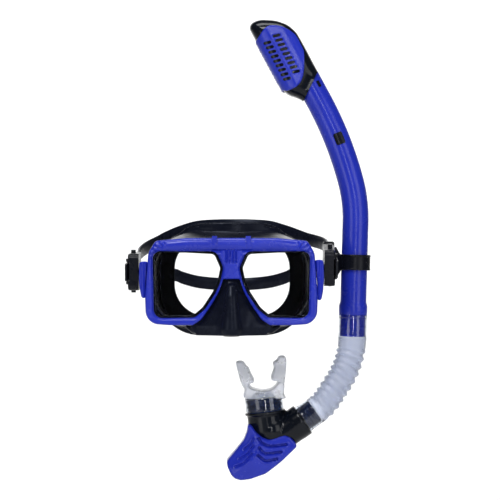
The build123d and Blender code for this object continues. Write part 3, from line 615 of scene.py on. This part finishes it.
def build_skirt():
    """Black silicone skirt: box walls, feathered face seal with a beaded edge, and the nose pocket."""
    middle, bead_radius = 3.5, 1.25
    rim = rounded_outline(145.4, 105.2, 41.6, middle)
    seat = FACE_RADIUS - np.sqrt(FACE_RADIUS ** 2 - rim[:, 0] ** 2)
    outward = rim - (0, middle)
    outward /= np.linalg.norm(outward, axis=1)[:, None]
    bead_rings = []
    for angle in np.arange(10) / 10 * tau:
        line = rim + outward * (bead_radius * cos(angle))
        bead_rings.append(facing(line, seat - 1.3 + bead_radius * sin(angle)))
    ridge_rings = []
    for z, radius, y in ((1.0, 2.8, -43.0), (-1.5, 4.6, -47.0), (-10, 5.2, -50.6), (-20, 6.0, -52.4),
                         (-32, 7.8, -52.8), (-42, 9.6, -51.6), (-46.5, 9.6, -49.4), (-48.4, 6.8, -46.6)):
        ridge_rings.append(circle(frame_at((0, y, z), (0, 0, 1)), radius, 0, 40, 0.8))
    fold_rings = []
    for x, radius, z in ((-42, 2.2, -39.5), (-36, 4.6, -42.5), (-28, 5.2, -43.4), (-10, 5.4, -43.8),
                         (0, 5.4, -44), (10, 5.4, -43.8), (28, 5.2, -43.4), (38, 4.6, -42.3), (45, 2.2, -39)):
        fold_rings.append(circle(frame_at((x, -38.5, z), (1, 0, 0), (0, 0, 1)), radius, 0, 20, 0.75))

    def reshape(points):
        x, y, z = points.T
        narrow = 1 - 0.13 * step(z, 36, 50) * step(y, -40, -20)
        hollow = 0.96 * np.exp(-((abs(x) - 15) / 5) ** 2) * step(z, -20, -34) * (y < -30)
        return np.stack([x * narrow, y + hollow, z], axis=1)

    shapes = [cad_shape("skirt"), skin(bead_rings, loop=True), skin(ridge_rings), skin(fold_rings)]
    melted("face_skirt", shapes, 1.0, 4, BLACK_RUBBER, "mask", ("skirt",), reshape)


# ---- strap ----
STRAP_X = 92.5
LOOP_RADIUS = 94.2
LOOP_Y = 74.0
SPLIT_Y = 32.0
LEG_ANGLE = radians(5.4)
PIVOTS = {"left": 15.0, "right": 11.0}
PITCHES = {"left": radians(11.0), "right": radians(3.0)}
UPPER = [(32, 7.0, 1.0), (56, 9.6, 0.98), (80, 14.8, 0.9), (120, 31.9, 0.4), (135, 41.6, 0.12),
         (151, 51.0, 0), (160, 55.6, 0), (167.3, 57.4, 0)]
LOWER = [(32, -7.0, 1.0), (56, -8.4, 0.98), (80, -9.1, 0.9), (120, 0.4, 0.4), (144, 5.0, 0.05),
         (151, 2.6, 0), (160, -2.0, 0), (167.3, -4.6, 0)]


def strap_plan():
    """Points of the strap's plan on the left side, from the buckle to the back."""
    leg_end = np.array([LOOP_RADIUS * cos(LEG_ANGLE), LOOP_Y + LOOP_RADIUS * sin(LEG_ANGLE)])
    start = np.array([STRAP_X, -4.0])
    line = [(STRAP_X, y) for y in np.arange(-19.5, -4, 1.5)]
    line += [tuple(start * (1 - t) + leg_end * t) for t in np.linspace(0, 1, 60)[:-1]]
    for angle in np.linspace(LEG_ANGLE, radians(90.6), 90):
        line.append((LOOP_RADIUS * cos(angle), LOOP_Y + LOOP_RADIUS * sin(angle)))
    return np.array(line)


def ribbon(plan, middle, half, sign, groove=0.25):
    """A band along the plan with rounded edges and a raised border."""
    ahead = np.gradient(plan, axis=0)
    outward = np.stack([ahead[:, 1], -ahead[:, 0]], axis=1) / np.linalg.norm(ahead, axis=1)[:, None]
    rings = []
    for (px, py), (nx, ny), z, h in zip(plan, outward, middle, half):
        inner = [(h - 0.7, 1.15), (h - 2.0, 1.15), (h - 2.5, 1.15 - groove)]
        outline = [(-h, -0.5), (-h + 0.7, -1.15), (h - 0.7, -1.15), (h, -0.5), (h, 0.5), *inner]
        outline += [(-v, w) for v, w in inner[::-1]] + [(-h, 0.5)]
        rings.append([(sign * (px + nx * w), py + ny * w, z + v) for v, w in outline])
    return skin(rings)


def build_strap():
    """Split silicone strap: each half bends from its buckle to the mask and meets the other at the back."""
    plan = strap_plan()
    for name, sign in (("left", 1), ("right", -1)):
        pivot, pitch = PIVOTS[name], PITCHES[name]
        front_z = pivot + 38.0 * sin(pitch)
        near = plan[plan[:, 1] <= SPLIT_Y + 2.0]
        near = near[:int(np.argmax(near[:, 1])) + 1]
        rise = pivot + np.tan(pitch) * (near[:, 1] + 34.0)
        level = step(near[:, 1], -4, 12)
        centre = rise * (1 - level) + front_z * level
        shapes = [ribbon(near, centre, 13.0 + 0.9 * step(near[:, 1], 5, 32), sign)]
        far = plan[len(near) - 3:]
        for table in (UPPER, LOWER):
            knots = smooth_line([(y, z + share * front_z) for y, z, share in table], 10)
            knots = knots[np.argsort(knots[:, 0])]
            heights = np.interp(far[:, 1], knots[:, 0], knots[:, 1])
            shapes.append(ribbon(far, heights, np.full(len(far), 6.55), sign))
        replaced = ("strap", f"strap_end_{name}")
        half = new_piece(f"strap_{name}_half", *joined(shapes), BLACK_RUBBER, None, replaced, 45)
        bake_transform(half)


# ---- snorkel: the path of its tube ----
SNORKEL_Y = 14.0
BARREL_RADIUS = 12.5
BARREL_LEAN = 1.6
HOSE_JOIN = 50.0
LEAN_AXIS = np.array([sin(radians(BARREL_LEAN)), 0, cos(radians(BARREL_LEAN))])
KEEPER_CENTRE = np.array([117.2, SNORKEL_Y, 19.5])
TUBE_LOW = KEEPER_CENTRE - LEAN_AXIS * HOSE_JOIN
BARREL_LEGS = [("line", 88.0), ("arc", 143.0, 16.6), ("arc", 350.0, 13.5), ("line", 27.0)]
HOSE_LEGS = [("line", 22.0), ("arc", 82.0, -31.4), ("line", 17.0), ("arc", 50.0, -22.0), ("line", 14.0)]
TOP_ANGLE = radians(28.5)
TOP_POINT = np.array([82.956, SNORKEL_Y, 174.908])
FORWARD = np.array([-cos(TOP_ANGLE), 0, -sin(TOP_ANGLE)])
UPWARD = np.array([-sin(TOP_ANGLE), 0, cos(TOP_ANGLE)])
RIM_HEIGHT = 15.6
RIM_SLOPE = radians(36.0)


def tube_path(start, heading, legs, spacing):
    """Points, headings and lengths of an upright path; heading 0 is up, a positive turn leans to -X."""
    places, headings, lengths = [np.array(start, float)], [radians(heading)], [0.0]
    for leg in legs:
        length = leg[1] if leg[0] == "line" else leg[1] * abs(radians(leg[2]))
        turn = 0.0 if leg[0] == "line" else radians(leg[2])
        count = max(2, int(length / spacing))
        for _ in range(count):
            middle = headings[-1] + turn / count / 2
            move = np.array([-sin(middle), 0, cos(middle)]) * length / count
            places.append(places[-1] + move)
            headings.append(headings[-1] + turn / count)
            lengths.append(lengths[-1] + length / count)
    return np.array(places), np.array(headings), np.array(lengths)


def tube(path, radius, count=64):
    """Rings along a path; the radius is a function of the length and the angle."""
    places, headings, lengths = path
    angles = np.arange(count) / count * tau
    rings = []
    for place, heading, length in zip(places, headings, lengths):
        across = np.array([-cos(heading), 0, -sin(heading)])
        radii = radius(length, angles) * np.ones(count)
        ahead = np.outer(np.sin(angles) * radii, (0, -1, 0))
        rings.append(place + np.outer(np.cos(angles) * radii, across) + ahead)
    return rings


def build_barrel():
    """Blue barrel: a flared lower end, a ribbed spigot, a slanting neck, and a plain inset badge."""
    path = tube_path(TUBE_LOW, -BARREL_LEAN, BARREL_LEGS, 1.6)

    def outside(length, angles):
        flare = 1.15 * float(step(length, 12.5, 8.0)) * (1 - 0.25 * float(step(length, 3, 0)))
        return BARREL_RADIUS + flare

    outer = [cut_at_rim(ring) for ring in tube(path, outside)]
    inner = [cut_at_rim(ring) for ring in tube(path, lambda length, angles: 10.5)]
    spigot_place = frame_at(TUBE_LOW, -LEAN_AXIS)
    profile = [(10.0, -1.0), (12.8, -1.0), (12.8, 0.6), (12.1, 0.9), (12.1, 2.2), (12.5, 2.6), (12.5, 4.0),
               (12.1, 4.4), (12.1, 10.6), (12.5, 11.0), (12.5, 12.6), (12.1, 13.0), (12.2, 18.6),
               (12.4, 19.2), (12.2, 20.8), (10.0, 20.8)]
    shapes = [skin(outer + inner[::-1], loop=True), turned(spigot_place, rounded(profile, 0.25, 2))]
    new_piece("snorkel_barrel", *joined(shapes), BLUE, "barrel", ("barrel",))
    badge_and_slot_shade(path)


def cut_at_rim(ring):
    """Slide the points of a ring that lie above the housing's slanting rim back onto it."""
    local = ring - TOP_POINT
    limit = RIM_HEIGHT - (local @ FORWARD) * np.tan(RIM_SLOPE)
    over = np.maximum(local @ UPWARD - limit, 0)
    return ring - np.outer(over, UPWARD)


def patch_on_tube(path, length_low, length_high, angle_low, angle_high, lift, corner=0.22):
    """A thin closed patch lying on the barrel, with clipped corners."""
    places, headings, lengths = path
    top, bottom = [], []
    for s in np.linspace(0, 1, 9):
        length = length_low + (length_high - length_low) * s
        place = np.array([np.interp(length, lengths, places[:, k]) for k in range(3)])
        heading = np.interp(length, lengths, headings)
        across = np.array([-cos(heading), 0, -sin(heading)])
        shrink = 1 - 0.18 * max(0, abs(2 * s - 1) - (1 - corner)) / corner
        for row, radius in ((top, BARREL_RADIUS + lift), (bottom, BARREL_RADIUS - 0.6)):
            line = []
            for t in np.linspace(-1, 1, 13):
                angle = (angle_low + angle_high) / 2 + t * shrink * (angle_high - angle_low) / 2
                line.append(place + radius * (cos(angle) * across + sin(angle) * np.array([0, -1, 0])))
            row.append(line)
    points = [tuple(p) for line in top + bottom for p in line]
    rows, size = len(top), len(top[0])
    under = rows * size
    faces = []
    for i in range(rows - 1):
        for a in range(i * size, i * size + size - 1):
            faces.append((a, a + 1, a + size + 1, a + size))
            faces.append(tuple(under + k for k in (a, a + size, a + size + 1, a + 1)))
    rim = list(range(size)) + [i * size + size - 1 for i in range(1, rows)]
    rim += [under - size + j for j in range(size - 2, -1, -1)] + [i * size for i in range(rows - 2, 0, -1)]
    faces += [(b, a, a + under, b + under) for a, b in zip(rim, rim[1:] + rim[:1])]
    return points, faces


def badge_and_slot_shade(path):
    """The plain dark badge, and a black patch painted as the shade inside the small latch slot under the dry
    top, both as patches on the barrel.
    """
    latch = path[2][-1] - 17.0
    # the latch slot is a black patch laid on the surface: painted shade in place of the shaded recess
    for name, low, high, angles, lift in (("barrel_badge", 164.3, 175.8, (76, 118), 0.25),
                                          ("latch_slot", latch, latch + 6.4, (115, 131), 0.2)):
        patch = patch_on_tube(path, low, high, *np.radians(angles), lift)
        new_piece(name, *patch, BLACK_SATIN, "barrel")


def build_hose():
    """Clear corrugated hose with plain, clearer cuffs; a fine helix runs round its middle."""
    path = tube_path(TUBE_LOW, 180 - BARREL_LEAN, HOSE_LEGS, 0.55)
    total = path[2][-1]
    first, last = 30.0, total - 17.0
    pitch = 6.7
    upper_cuff, lower_cuff = 9.0, 21.0

    def wave(length, angles):
        zone = float(step(length, first, first + 5) * step(length, last, last - 5))
        return zone * (0.5 + 0.5 * np.cos(length / pitch * tau + angles)) ** 0.8, zone

    def outside(length, angles):
        height, zone = wave(length, angles)
        cuff = 0.35 * float(step(length, 3.5, 2.0)) + 0.35 * float(step(length, total - 3.5, total - 2))
        cuff += 0.25 * np.exp(-((length - 23) / 1.0) ** 2)
        return 13.45 + cuff - 1.35 * zone + 1.95 * height

    def bore(length, angles):
        height, zone = wave(length, angles)
        cuff = 1.0 * float(step(length, 27, 22)) + 1.0 * float(step(length, total - 17, total - 13))
        return 11.6 + cuff - 0.35 * zone + 1.55 * height

    outer, inner = tube(path, outside, 72), tube(path, bore, 72)
    hose = new_piece(
        "clear_hose", *skin(outer + inner[::-1], loop=True), CLEAR_RUBBER, None, ("flex_hose",), 80)
    places, lengths = path[0], path[2]
    start, end = ([float(np.interp(at, lengths, places[:, k])) * MM for k in range(3)]
                  for at in (first, last))
    finish = Vector([float(c) * MM for c in places[-1]])
    hose.data.materials.append(CUFF_RUBBER)
    for face in hose.data.polygons:
        if face.center.z > start[2] + upper_cuff * MM or (face.center - finish).length < lower_cuff * MM:
            face.material_index = 1
    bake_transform(hose)


# ---- snorkel: keeper ----
def build_keeper():
    """Black rubber keeper: a band round the barrel that flares into a web beside the strap's clip."""
    profile = [(12.6, -7.4), (15.5, -7.4), (15.5, -6.2), (15.15, -5.6),
               (15.15, 5.6), (15.5, 6.2), (15.5, 7.4), (12.6, 7.4)]
    band = turned(frame_at(KEEPER_CENTRE, LEAN_AXIS), rounded(profile, 0.5), 72)
    web = []
    for x, half_z, half_y, low in ((98.1, 15.0, 6.0, 15.2), (99.6, 15.0, 6.0, 15.2), (101.0, 12.2, 6.6, 13.0),
                                   (102.5, 9.4, 7.6, 10.2), (103.6, 8.0, 8.4, 8.4), (104.4, 7.2, 9.4, 7.4)):
        ring = []
        for angle in np.arange(40) / 40 * tau:
            c, s = np.cos(angle), np.sin(angle)
            y = half_y * np.sign(c) * abs(c) ** 0.35
            z = (half_z if s > 0 else low) * np.sign(s) * abs(s) ** 0.35
            ring.append((x, SNORKEL_Y + y, KEEPER_CENTRE[2] + z))
        web.append(ring)
    melted("snorkel_keeper", [band, skin(web)], 0.5, 3, BLACK_SATIN, "keeper", ("keeper_ring",))


# ---- snorkel: dry top ----
HOUSING_HALF = (19.5, 17.0)
HOUSING_CORNER = 13.0
HOUSING_OFFSET = 6.3
WALL = 1.35
COVER_TOP, COVER_FOOT = 77.6, 24.8
COVER_OUTLINE = [(25.5, 78.6), (15.3, 82.9), (8.4, 83.4), (0, 78.5), (-6.2, 71.4), (-9.6, 64.0),
                 (-9.9, 55), (-9.2, 46.7), (-4.2, 37.0), (2.6, 27.2), (8, 22.4), (14.2, 20.4), (24, 21.4),
                 (30, 27)]
HOUSING_SIDE = [(-12.3, 24.5), (-12.2, 36), (-12.2, 48), (-12.0, 60), (-11.4, 67.5), (-8.4, 75.8),
                (-3.7, 82.2), (1, 86.8), (5.8, 90.2), (12, 93.8), (18.4, 95.2), (23.0, 94.4), (25.4, 91.4),
                (25.8, 86), (25.8, 60), (25.8, 34), (25.4, 24.4), (22.6, 17.6), (18.6, 13.2), (15.6, 9.4),
                (13.6, 5.8)]


def cover_section(count=400):
    """Half of the cover's section as (v, side, length), from its rear edge to the middle of its front."""
    half_v, half_y = HOUSING_HALF[0] + WALL, HOUSING_HALF[1] + WALL
    corner = HOUSING_CORNER + WALL
    line = [(HOUSING_OFFSET - half_v + corner * (1 - sin(a)), half_y - corner * (1 - cos(a)))
            for a in np.linspace(radians(75), 0, 30)]
    line += [(HOUSING_OFFSET + half_v - corner * (1 - sin(a)), half_y - corner * (1 - cos(a)))
             for a in np.linspace(0, radians(90), 60)]
    line.append((HOUSING_OFFSET + half_v, 0.0))
    line = np.array(line)
    line[:, 1] += 0.55 * np.exp(-((line[:, 0] - 12.2) / 2.6) ** 2)
    lengths = np.concatenate([[0], np.cumsum(np.linalg.norm(np.diff(line, axis=0), axis=1))])
    at = np.linspace(0, lengths[-1], count)
    return np.interp(at, lengths, line[:, 0]), np.interp(at, lengths, line[:, 1]), at


def pill(centre, length, width, tilt, count=8):
    """A slot's outline: two half circles joined by straight sides."""
    half = (length - width) / 2
    line = []
    for end, begin in ((1, -pi / 2), (-1, pi / 2)):
        for k in range(count + 1):
            angle = begin + pi * k / count
            line.append((end * half + width / 2 * cos(angle), width / 2 * sin(angle)))
    c, s = cos(tilt), sin(tilt)
    return np.array([(centre[0] + a * c - b * s, centre[1] + a * s + b * c) for a, b in line])


def build_dry_top():
    """Louvred blue cover wrapped round the front of the black housing, drawn flat about its middle line."""
    section_v, section_y, section_at = cover_section()
    front_at = section_at[-1]

    def unrolled(v, flank):
        index = np.argmin(abs(section_v[:-20] - v))
        return flank * (front_at - section_at[index])

    outline = []
    for v, u in smooth_line(COVER_OUTLINE, 4):
        outline.append((unrolled(min(v, 25.5), -1) if v < 26 else 0.0, u))
    top, foot = (0.0, COVER_TOP), (0.0, COVER_FOOT)
    flank = resampled(np.array([top] + [p for p in outline if p[0] < -0.5] + [foot]), 1.0)
    flank = flank[flank[:, 0] < -0.4]
    whole = np.vstack([[top], flank, [foot], flank[::-1] * (-1, 1)])
    slots = []
    for row in range(9):
        up = 33.0 + row * 4.85
        for side in (-1, 1):
            slots.append(pill((unrolled(7.4, side), up), 7.6, 2.9, side * radians(-15)))
            slots.append(pill((unrolled(18.4, side), up - 1.7), 8.6, 2.9, side * radians(-15)))
        if 0 < row:
            slots.append(pill((0.0, up - 4.0), 6.4, 2.4, 0.0))

    def wrap(points, height):
        a = np.abs(points[:, 0])

        def section(shift):
            at = front_at - a + shift
            return np.array([np.interp(at, section_at, section_v), np.interp(at, section_at, section_y)])

        v, side = section(0.0)
        ahead, across = section(0.3) - section(-0.3)
        size = np.hypot(ahead, across) + 1e-9
        normal_v, normal_y = -across / size, ahead / size
        normal_v = np.where(a < 1.0, 1.0, normal_v)
        normal_y = np.where(a < 1.0, 0.0, normal_y)
        v, side = v + normal_v * height, side + normal_y * height
        sign = np.where(points[:, 0] < 0, -1.0, 1.0)
        placed = TOP_POINT[None] + np.outer(v, FORWARD) + np.outer(points[:, 1], UPWARD)
        placed[:, 1] += sign * side
        return placed

    edge_line = resampled(whole, 0.6)

    def outer_height(points):
        drop = edge_round(distance(points, edge_line), 1.4) * 0.9
        near = np.min([distance(points, slot) for slot in slots], axis=0)
        return 0.15 - drop - 0.35 * edge_round(near, 0.7)

    def inner_height(points):
        return np.full(len(points), -1.25)

    shape = slab_between(whole, slots, 1.0, outer_height, inner_height, wrap)
    new_piece("dry_top_shield", *shape, BLUE, "barrel", ("dry_top_cover",), sharp=45)
    build_housing()


def in_side_view(points, height):
    """Place a shape drawn in the housing's side view: a is forward, b is up the tube, the height is Y."""
    placed = TOP_POINT[None] + np.outer(points[:, 0], FORWARD) + np.outer(points[:, 1], UPWARD)
    placed[:, 1] = height
    return placed


def even_slab(outline, spacing, half, place=facing):
    """A solid of the same depth to either side of the snorkel's plane."""
    return slab_between(outline, [], spacing, lambda points: SNORKEL_Y - half(points),
                        lambda points: SNORKEL_Y + half(points), place)


def build_housing():
    """The dry top's glossy black body: rounded in section, tube-like at its rim, with a curled chin."""
    side = smooth_line(HOUSING_SIDE, 4)
    outline = resampled(side, 0.7)

    def half(points):
        edge = distance(points, side, False)
        above_rim = points[:, 1] - (RIM_HEIGHT - points[:, 0] * np.tan(RIM_SLOPE))
        deep = 13.1 + 3.9 * step(above_rim, 2, 26)
        crown = 2.6 * step(points[:, 1], 80, 95)
        return deep - crown - edge_round(edge, 10.5) * 1.05

    shape = even_slab(outline, 1.1, half, in_side_view)
    new_piece("dry_top_body", *shape, BLACK_GLOSS, "barrel", ("dry_top_housing",), sharp=50)


# ---- elbow, mouthpiece and purge cap ----
MOUTH_LEAN = radians(7.0)
MOUTH_BASE = np.array([31.5, SNORKEL_Y, -122.8])
MOUTH_UP = np.array([-sin(MOUTH_LEAN), 0, cos(MOUTH_LEAN)])
CHAMBER = np.array([37.0, SNORKEL_Y, -141.0])
HOSE_END = tube_path(TUBE_LOW, 180 - BARREL_LEAN, HOSE_LEGS, 1.0)[0][-1]
HOSE_WAY = np.array([-sin(radians(125.0)), 0, cos(radians(125.0))])


def build_elbow():
    """Black elbow chamber with ribbed smoke-blue spigots for the hose and the mouthpiece."""
    port = frame_at(HOSE_END, HOSE_WAY)
    bulge = turned(frame_at(CHAMBER + (-3.0, -9.0, 1.0), (0, -1, 0), (0, 0, 1)),
                   [(0.01, -6), (9.5, -6), (12.0, 0), (9.5, 4.5), (4.0, 7.2), (0.01, 7.8)], 40, 0.8)
    collar = turned(port, rounded([(11.8, 0.2), (15.9, 0.2), (15.9, 9.5), (14.6, 10.4), (11.8, 10.4)], 0.5))
    melted("elbow_chamber", [cad_shape("elbow"), collar, bulge], 0.7, 8, BLACK_GLOSS, "elbow", ("elbow",))
    rings = [(9.8, -14.6), (11.6, -14.6), (11.6, -13.4)]
    for k in range(4):
        low = -12.8 + k * 3.1
        rings += [(11.6, low), (12.45, low + 0.35), (12.45, low + 1.35), (11.6, low + 1.7)]
    rings += [(11.6, 0.3), (9.8, 0.3)]
    new_piece("hose_spigot", *turned(port, rounded(rings, 0.15, 2)), SMOKE, "elbow")
    mouth = frame_at(MOUTH_BASE, MOUTH_UP)
    rings = [(12.2, -1.0), (17.0, -1.0), (17.0, 1.2), (16.4, 1.6), (16.4, 4.2), (17.2, 4.6), (17.2, 6.4),
             (16.4, 6.8), (16.4, 9.0), (17.2, 9.4), (17.2, 12.0), (16.2, 12.8), (12.2, 12.8)]
    new_piece("mouth_spigot", *turned(mouth, rounded(rings, 0.25, 2), 64, 0.9), SMOKE, "elbow")


LEFT_ARM = [(14.6, -106), (11.5, -101), (8.7, -95.5), (6.2, -88.0), (4.3, -80.5), (3.6, -77.3),
            (4.6, -75.2), (8.9, -74.7), (11.9, -76.4), (13.3, -78.9), (15.7, -81.0), (17.6, -85.4),
            (20.5, -91.0), (20.9, -94.0), (18.9, -95.8), (16.6, -95.8), (17.4, -98.6), (19.0, -101.0),
            (19.4, -106)]
RIGHT_ARM = [(42.4, -106), (42.6, -100), (43.6, -96.5), (44.4, -93.8), (41.1, -93.7), (37.9, -92.6),
             (37.2, -89.9), (38.5, -85.8), (39.7, -81.0), (38.9, -77.1), (40.4, -74.8), (42.9, -73.4),
             (43.8, -71.1), (46.6, -69.6), (50.0, -70.0), (51.8, -72.8), (51.9, -79.6), (51.0, -87.8),
             (50.0, -96.0), (48.9, -106)]
SADDLE = [(12.0, -103.5), (13.5, -97.5), (15.5, -97.5), (18.6, -100.2), (23.3, -101.9), (30.8, -102.7),
          (37.6, -101.2), (42.0, -97.6), (44.2, -94.8), (49.6, -95.5), (49.4, -106), (49.0, -110.5),
          (14.0, -110.5)]


def pillow(outline, half, radius):
    """An upright outline given a thickness in Y, with rounded edges."""
    line = resampled(smooth_line(outline, 5, True), 0.7)
    return even_slab(
        line, 0.8, lambda points: half(points) - edge_round(distance(points, line), radius) * 1.6)


def build_mouthpiece():
    """Clear silicone mouthpiece: a sleeve over the elbow's spigot, a saddle, two arms with bite tabs."""
    def arm_half(points):
        return 13.4 - 5.6 * step(points[:, 1], -96, -74)

    def saddle_half(points):
        return 12.0 + 2.6 * step(points[:, 1], -110, -100)

    mouth = frame_at(MOUTH_BASE, MOUTH_UP)
    profile = [(17.35, 1.0), (18.1, 1.0), (18.1, 3.4), (17.85, 4.0), (17.85, 13.0),
               (17.2, 16.5), (17.0, 19.0), (14.6, 19.0), (14.6, 13.4), (17.3, 13.0)]
    sleeve = turned(mouth, rounded(profile, 0.3, 2), 72, 0.9)
    shapes = [pillow(*arm) for arm in (
        (LEFT_ARM, arm_half, 2.4), (RIGHT_ARM, arm_half, 2.4), (SADDLE, saddle_half, 2.0))]
    melted("mouthpiece_bite", shapes, 0.7, 3, MILKY_RUBBER, "elbow", ("mouthpiece",))
    new_piece("mouthpiece_sleeve", *sleeve, CUFF_RUBBER, "elbow")


CAP_OUTLINE = [(15.1, -134.2), (14.2, -142.0), (11.0, -150.0), (3.6, -159.4), (-5.2, -169.8),
               (-4.2, -175.4), (-0.8, -182.2), (2.4, -185.6), (8.3, -187.6), (17.8, -186.4),
               (32.0, -181.4), (47.0, -169.6), (61.5, -156.0), (61.2, -153.0), (55.4, -146.6),
               (50.0, -144.2), (43.2, -146.6), (35.6, -148.8), (29.0, -146.8), (22.3, -141.0),
               (19.0, -135.8)]
CAP_RIDGE = [(17.2, -135.6), (20.8, -141), (24.0, -153.0), (23.8, -160.0), (20.2, -166.4), (9.0, -175.2),
             (0.4, -182.4)]
CAP_SLOTS_RIGHT = [
    [(25.2, -147.0), (28.4, -151.4), (36.5, -154.6), (51.4, -153.4)],
    [(25.6, -156.0), (31.6, -161.4), (46.6, -160.4)],
    [(24.6, -163.2), (32.0, -168.4), (42.6, -167.0)],
]
CAP_SLOTS_LEFT = [
    [(20.6, -147.0), (17.6, -152.4), (11.6, -158.2)],
    [(20.4, -154.4), (15.0, -162.0), (7.2, -166.8)],
    [(19.0, -161.8), (11.4, -170.2), (3.0, -174.0)],
]


def build_cap():
    """Blue purge cap: two facets that meet at a crest, with chevron louvres, over a hollow."""
    line = resampled(np.array(rounded(CAP_OUTLINE, 1.6, 4)), 0.7)
    ridge = smooth_line(CAP_RIDGE, 6)

    def half(points):
        gap = distance(points, ridge, False)
        edge = distance(points, line)
        ridge_x = np.interp(points[:, 1], ridge[::-1, 1], ridge[::-1, 0])
        left = step(ridge_x - points[:, 0], -0.6, 0.6)
        facet = 20.4 - gap * (0.62 * left + 0.16 * (1 - left))
        facet = facet - 3.0 * step(points[:, 1], -172, -186) - edge_round(edge, 2.2) * 0.9
        for slots, width, deep in ((CAP_SLOTS_RIGHT, 1.5, 3.4), (CAP_SLOTS_LEFT, 1.0, 1.3)):
            for slot in slots:
                reach = distance(points, smooth_line(slot, 6), False)
                above = 0.55 * np.exp(-((reach - width - 1.0) / 0.7) ** 2)
                facet = facet - deep * step(reach, width, width * 0.45) + above * step(edge, 0.5, 2.5)
        return facet

    new_piece("purge_cover", *even_slab(line, 0.75, half), BLUE, "elbow", ("purge_cap",), sharp=28)


# ---- brackets ----
def build_brackets():
    """Blue swivel brackets: a ribbed plate that hugs the frame's side and tapers at its foot."""
    for name, sign in (("left", 1), ("right", -1)):
        low, high = (-15.0, 22.4) if sign > 0 else (-13.0, 20.8)
        outline = [(77.0, high - 1), (78.6, high), (83.6, high), (85.0, high - 2.0), (85.3, 4.0),
                   (84.6, low + 9), (83.2, low + 1.5), (82.0, low), (79.8, low), (79.0, low + 3),
                   (79.2, 0.0), (78.2, 12.0)]
        line = resampled(np.array([(sign * x, z) for x, z in rounded(outline, 1.4, 3)]), 0.6)

        def front(points):
            edge = distance(points, line)
            ribs = 0.55 * np.clip(np.cos((abs(points[:, 0]) - 80.9) / 2.2 * tau), -0.5, 1)
            return -46.6 - ribs * step(edge, 0.2, 1.0) + edge_round(edge, 1.4)

        def back(points):
            return np.where(abs(points[:, 0]) > 80.6, -28.2, -37.4)

        shape = slab_between(line, [], 0.6, front, back, facing)
        new_piece(f"bracket_{name}", *shape, BLUE, "mask", (f"buckle_bracket_{name}",))


# ---- stage ----
def add_plane(name, place, turn, size=14, grey=0.93):
    """A square of matt paper."""
    mesh = bpy.data.meshes.new(name)
    half = size / 2
    corners = [(x * half, y * half, 0) for x, y in ((-1, -1), (1, -1), (1, 1), (-1, 1))]
    mesh.from_pydata(corners, [], [(0, 1, 2, 3)])
    obj = new_object(name, mesh)
    obj.location = place
    obj.rotation_euler = turn
    material, tree, shader = new_material(name + "_paint")
    tint = mix_colours(tree, noise(tree, 3, 2), (grey,) * 3, (grey * 0.995,) * 3)
    tree.links.new(tint, shader.inputs["Base Color"])
    shader.inputs["Roughness"].default_value = 0.9
    mesh.materials.append(material)


def area_light(name, place, size, power, target=(0.02, 0, 0.03)):
    data = bpy.data.lights.new(name, "AREA")
    data.shape = "RECTANGLE"
    data.size, data.size_y = size
    data.energy = power
    obj = new_object(name, data)
    obj.location = place
    obj.rotation_euler = (Vector(target) - Vector(place)).to_track_quat("-Z", "Y").to_euler()


def build_stage():
    floor_z = cad_box[0][2] - 0.28
    add_plane("studio_floor", (0, 2.0, floor_z), (0, 0, 0))
    add_plane("studio_wall", (0, 4.5, 0), (radians(90), 0, 0))
    area_light("key", (-0.5, -1.5, 1.5), (0.7, 0.7), 24)
    area_light("fill", (1.3, -1.3, 0.3), (0.8, 1.2), 7)
    area_light("low_fill", (-1.1, -1.4, -0.2), (0.7, 1.0), 5)
    area_light("strip", (0.22, -1.9, 0.35), (0.10, 1.3), 5)
    area_light("top", (0, -0.2, 1.6), (1.2, 0.5), 14)
    area_light("wall_wash", (0, 2.0, 2.0), (3.4, 1.4), 110, (0, 4.5, 0.2))
    world = bpy.data.worlds.new("studio")
    world.use_nodes = True
    background = world.node_tree.nodes["Background"]
    background.inputs["Color"].default_value = (1, 1, 1, 1)
    background.inputs["Strength"].default_value = 0.10
    bpy.context.scene.world = world
    bpy.context.scene.view_settings.view_transform = "Standard"


def build_camera():
    """Level, 1.5 m in front of the face seal; 0.95 mm to a pixel at the seal's depth."""
    data = bpy.data.cameras.new("camera")
    data.sensor_width = 36.0
    away, width_seen = 1.5, 0.475
    data.lens = data.sensor_width * away / width_seen
    camera = new_object("camera", data)
    camera.location = (0.0171, -away, 0.03135)
    camera.rotation_euler = (radians(90), 0, 0)
    data.dof.use_dof = False
    bpy.context.scene.camera = camera


dress_cad_nodes()
build_stage()
build_camera()
build_bezel()
build_window_lips()
build_skirt()
build_strap()
build_barrel()
build_hose()
build_keeper()
build_dry_top()
build_elbow()
build_mouthpiece()
build_cap()
build_brackets()
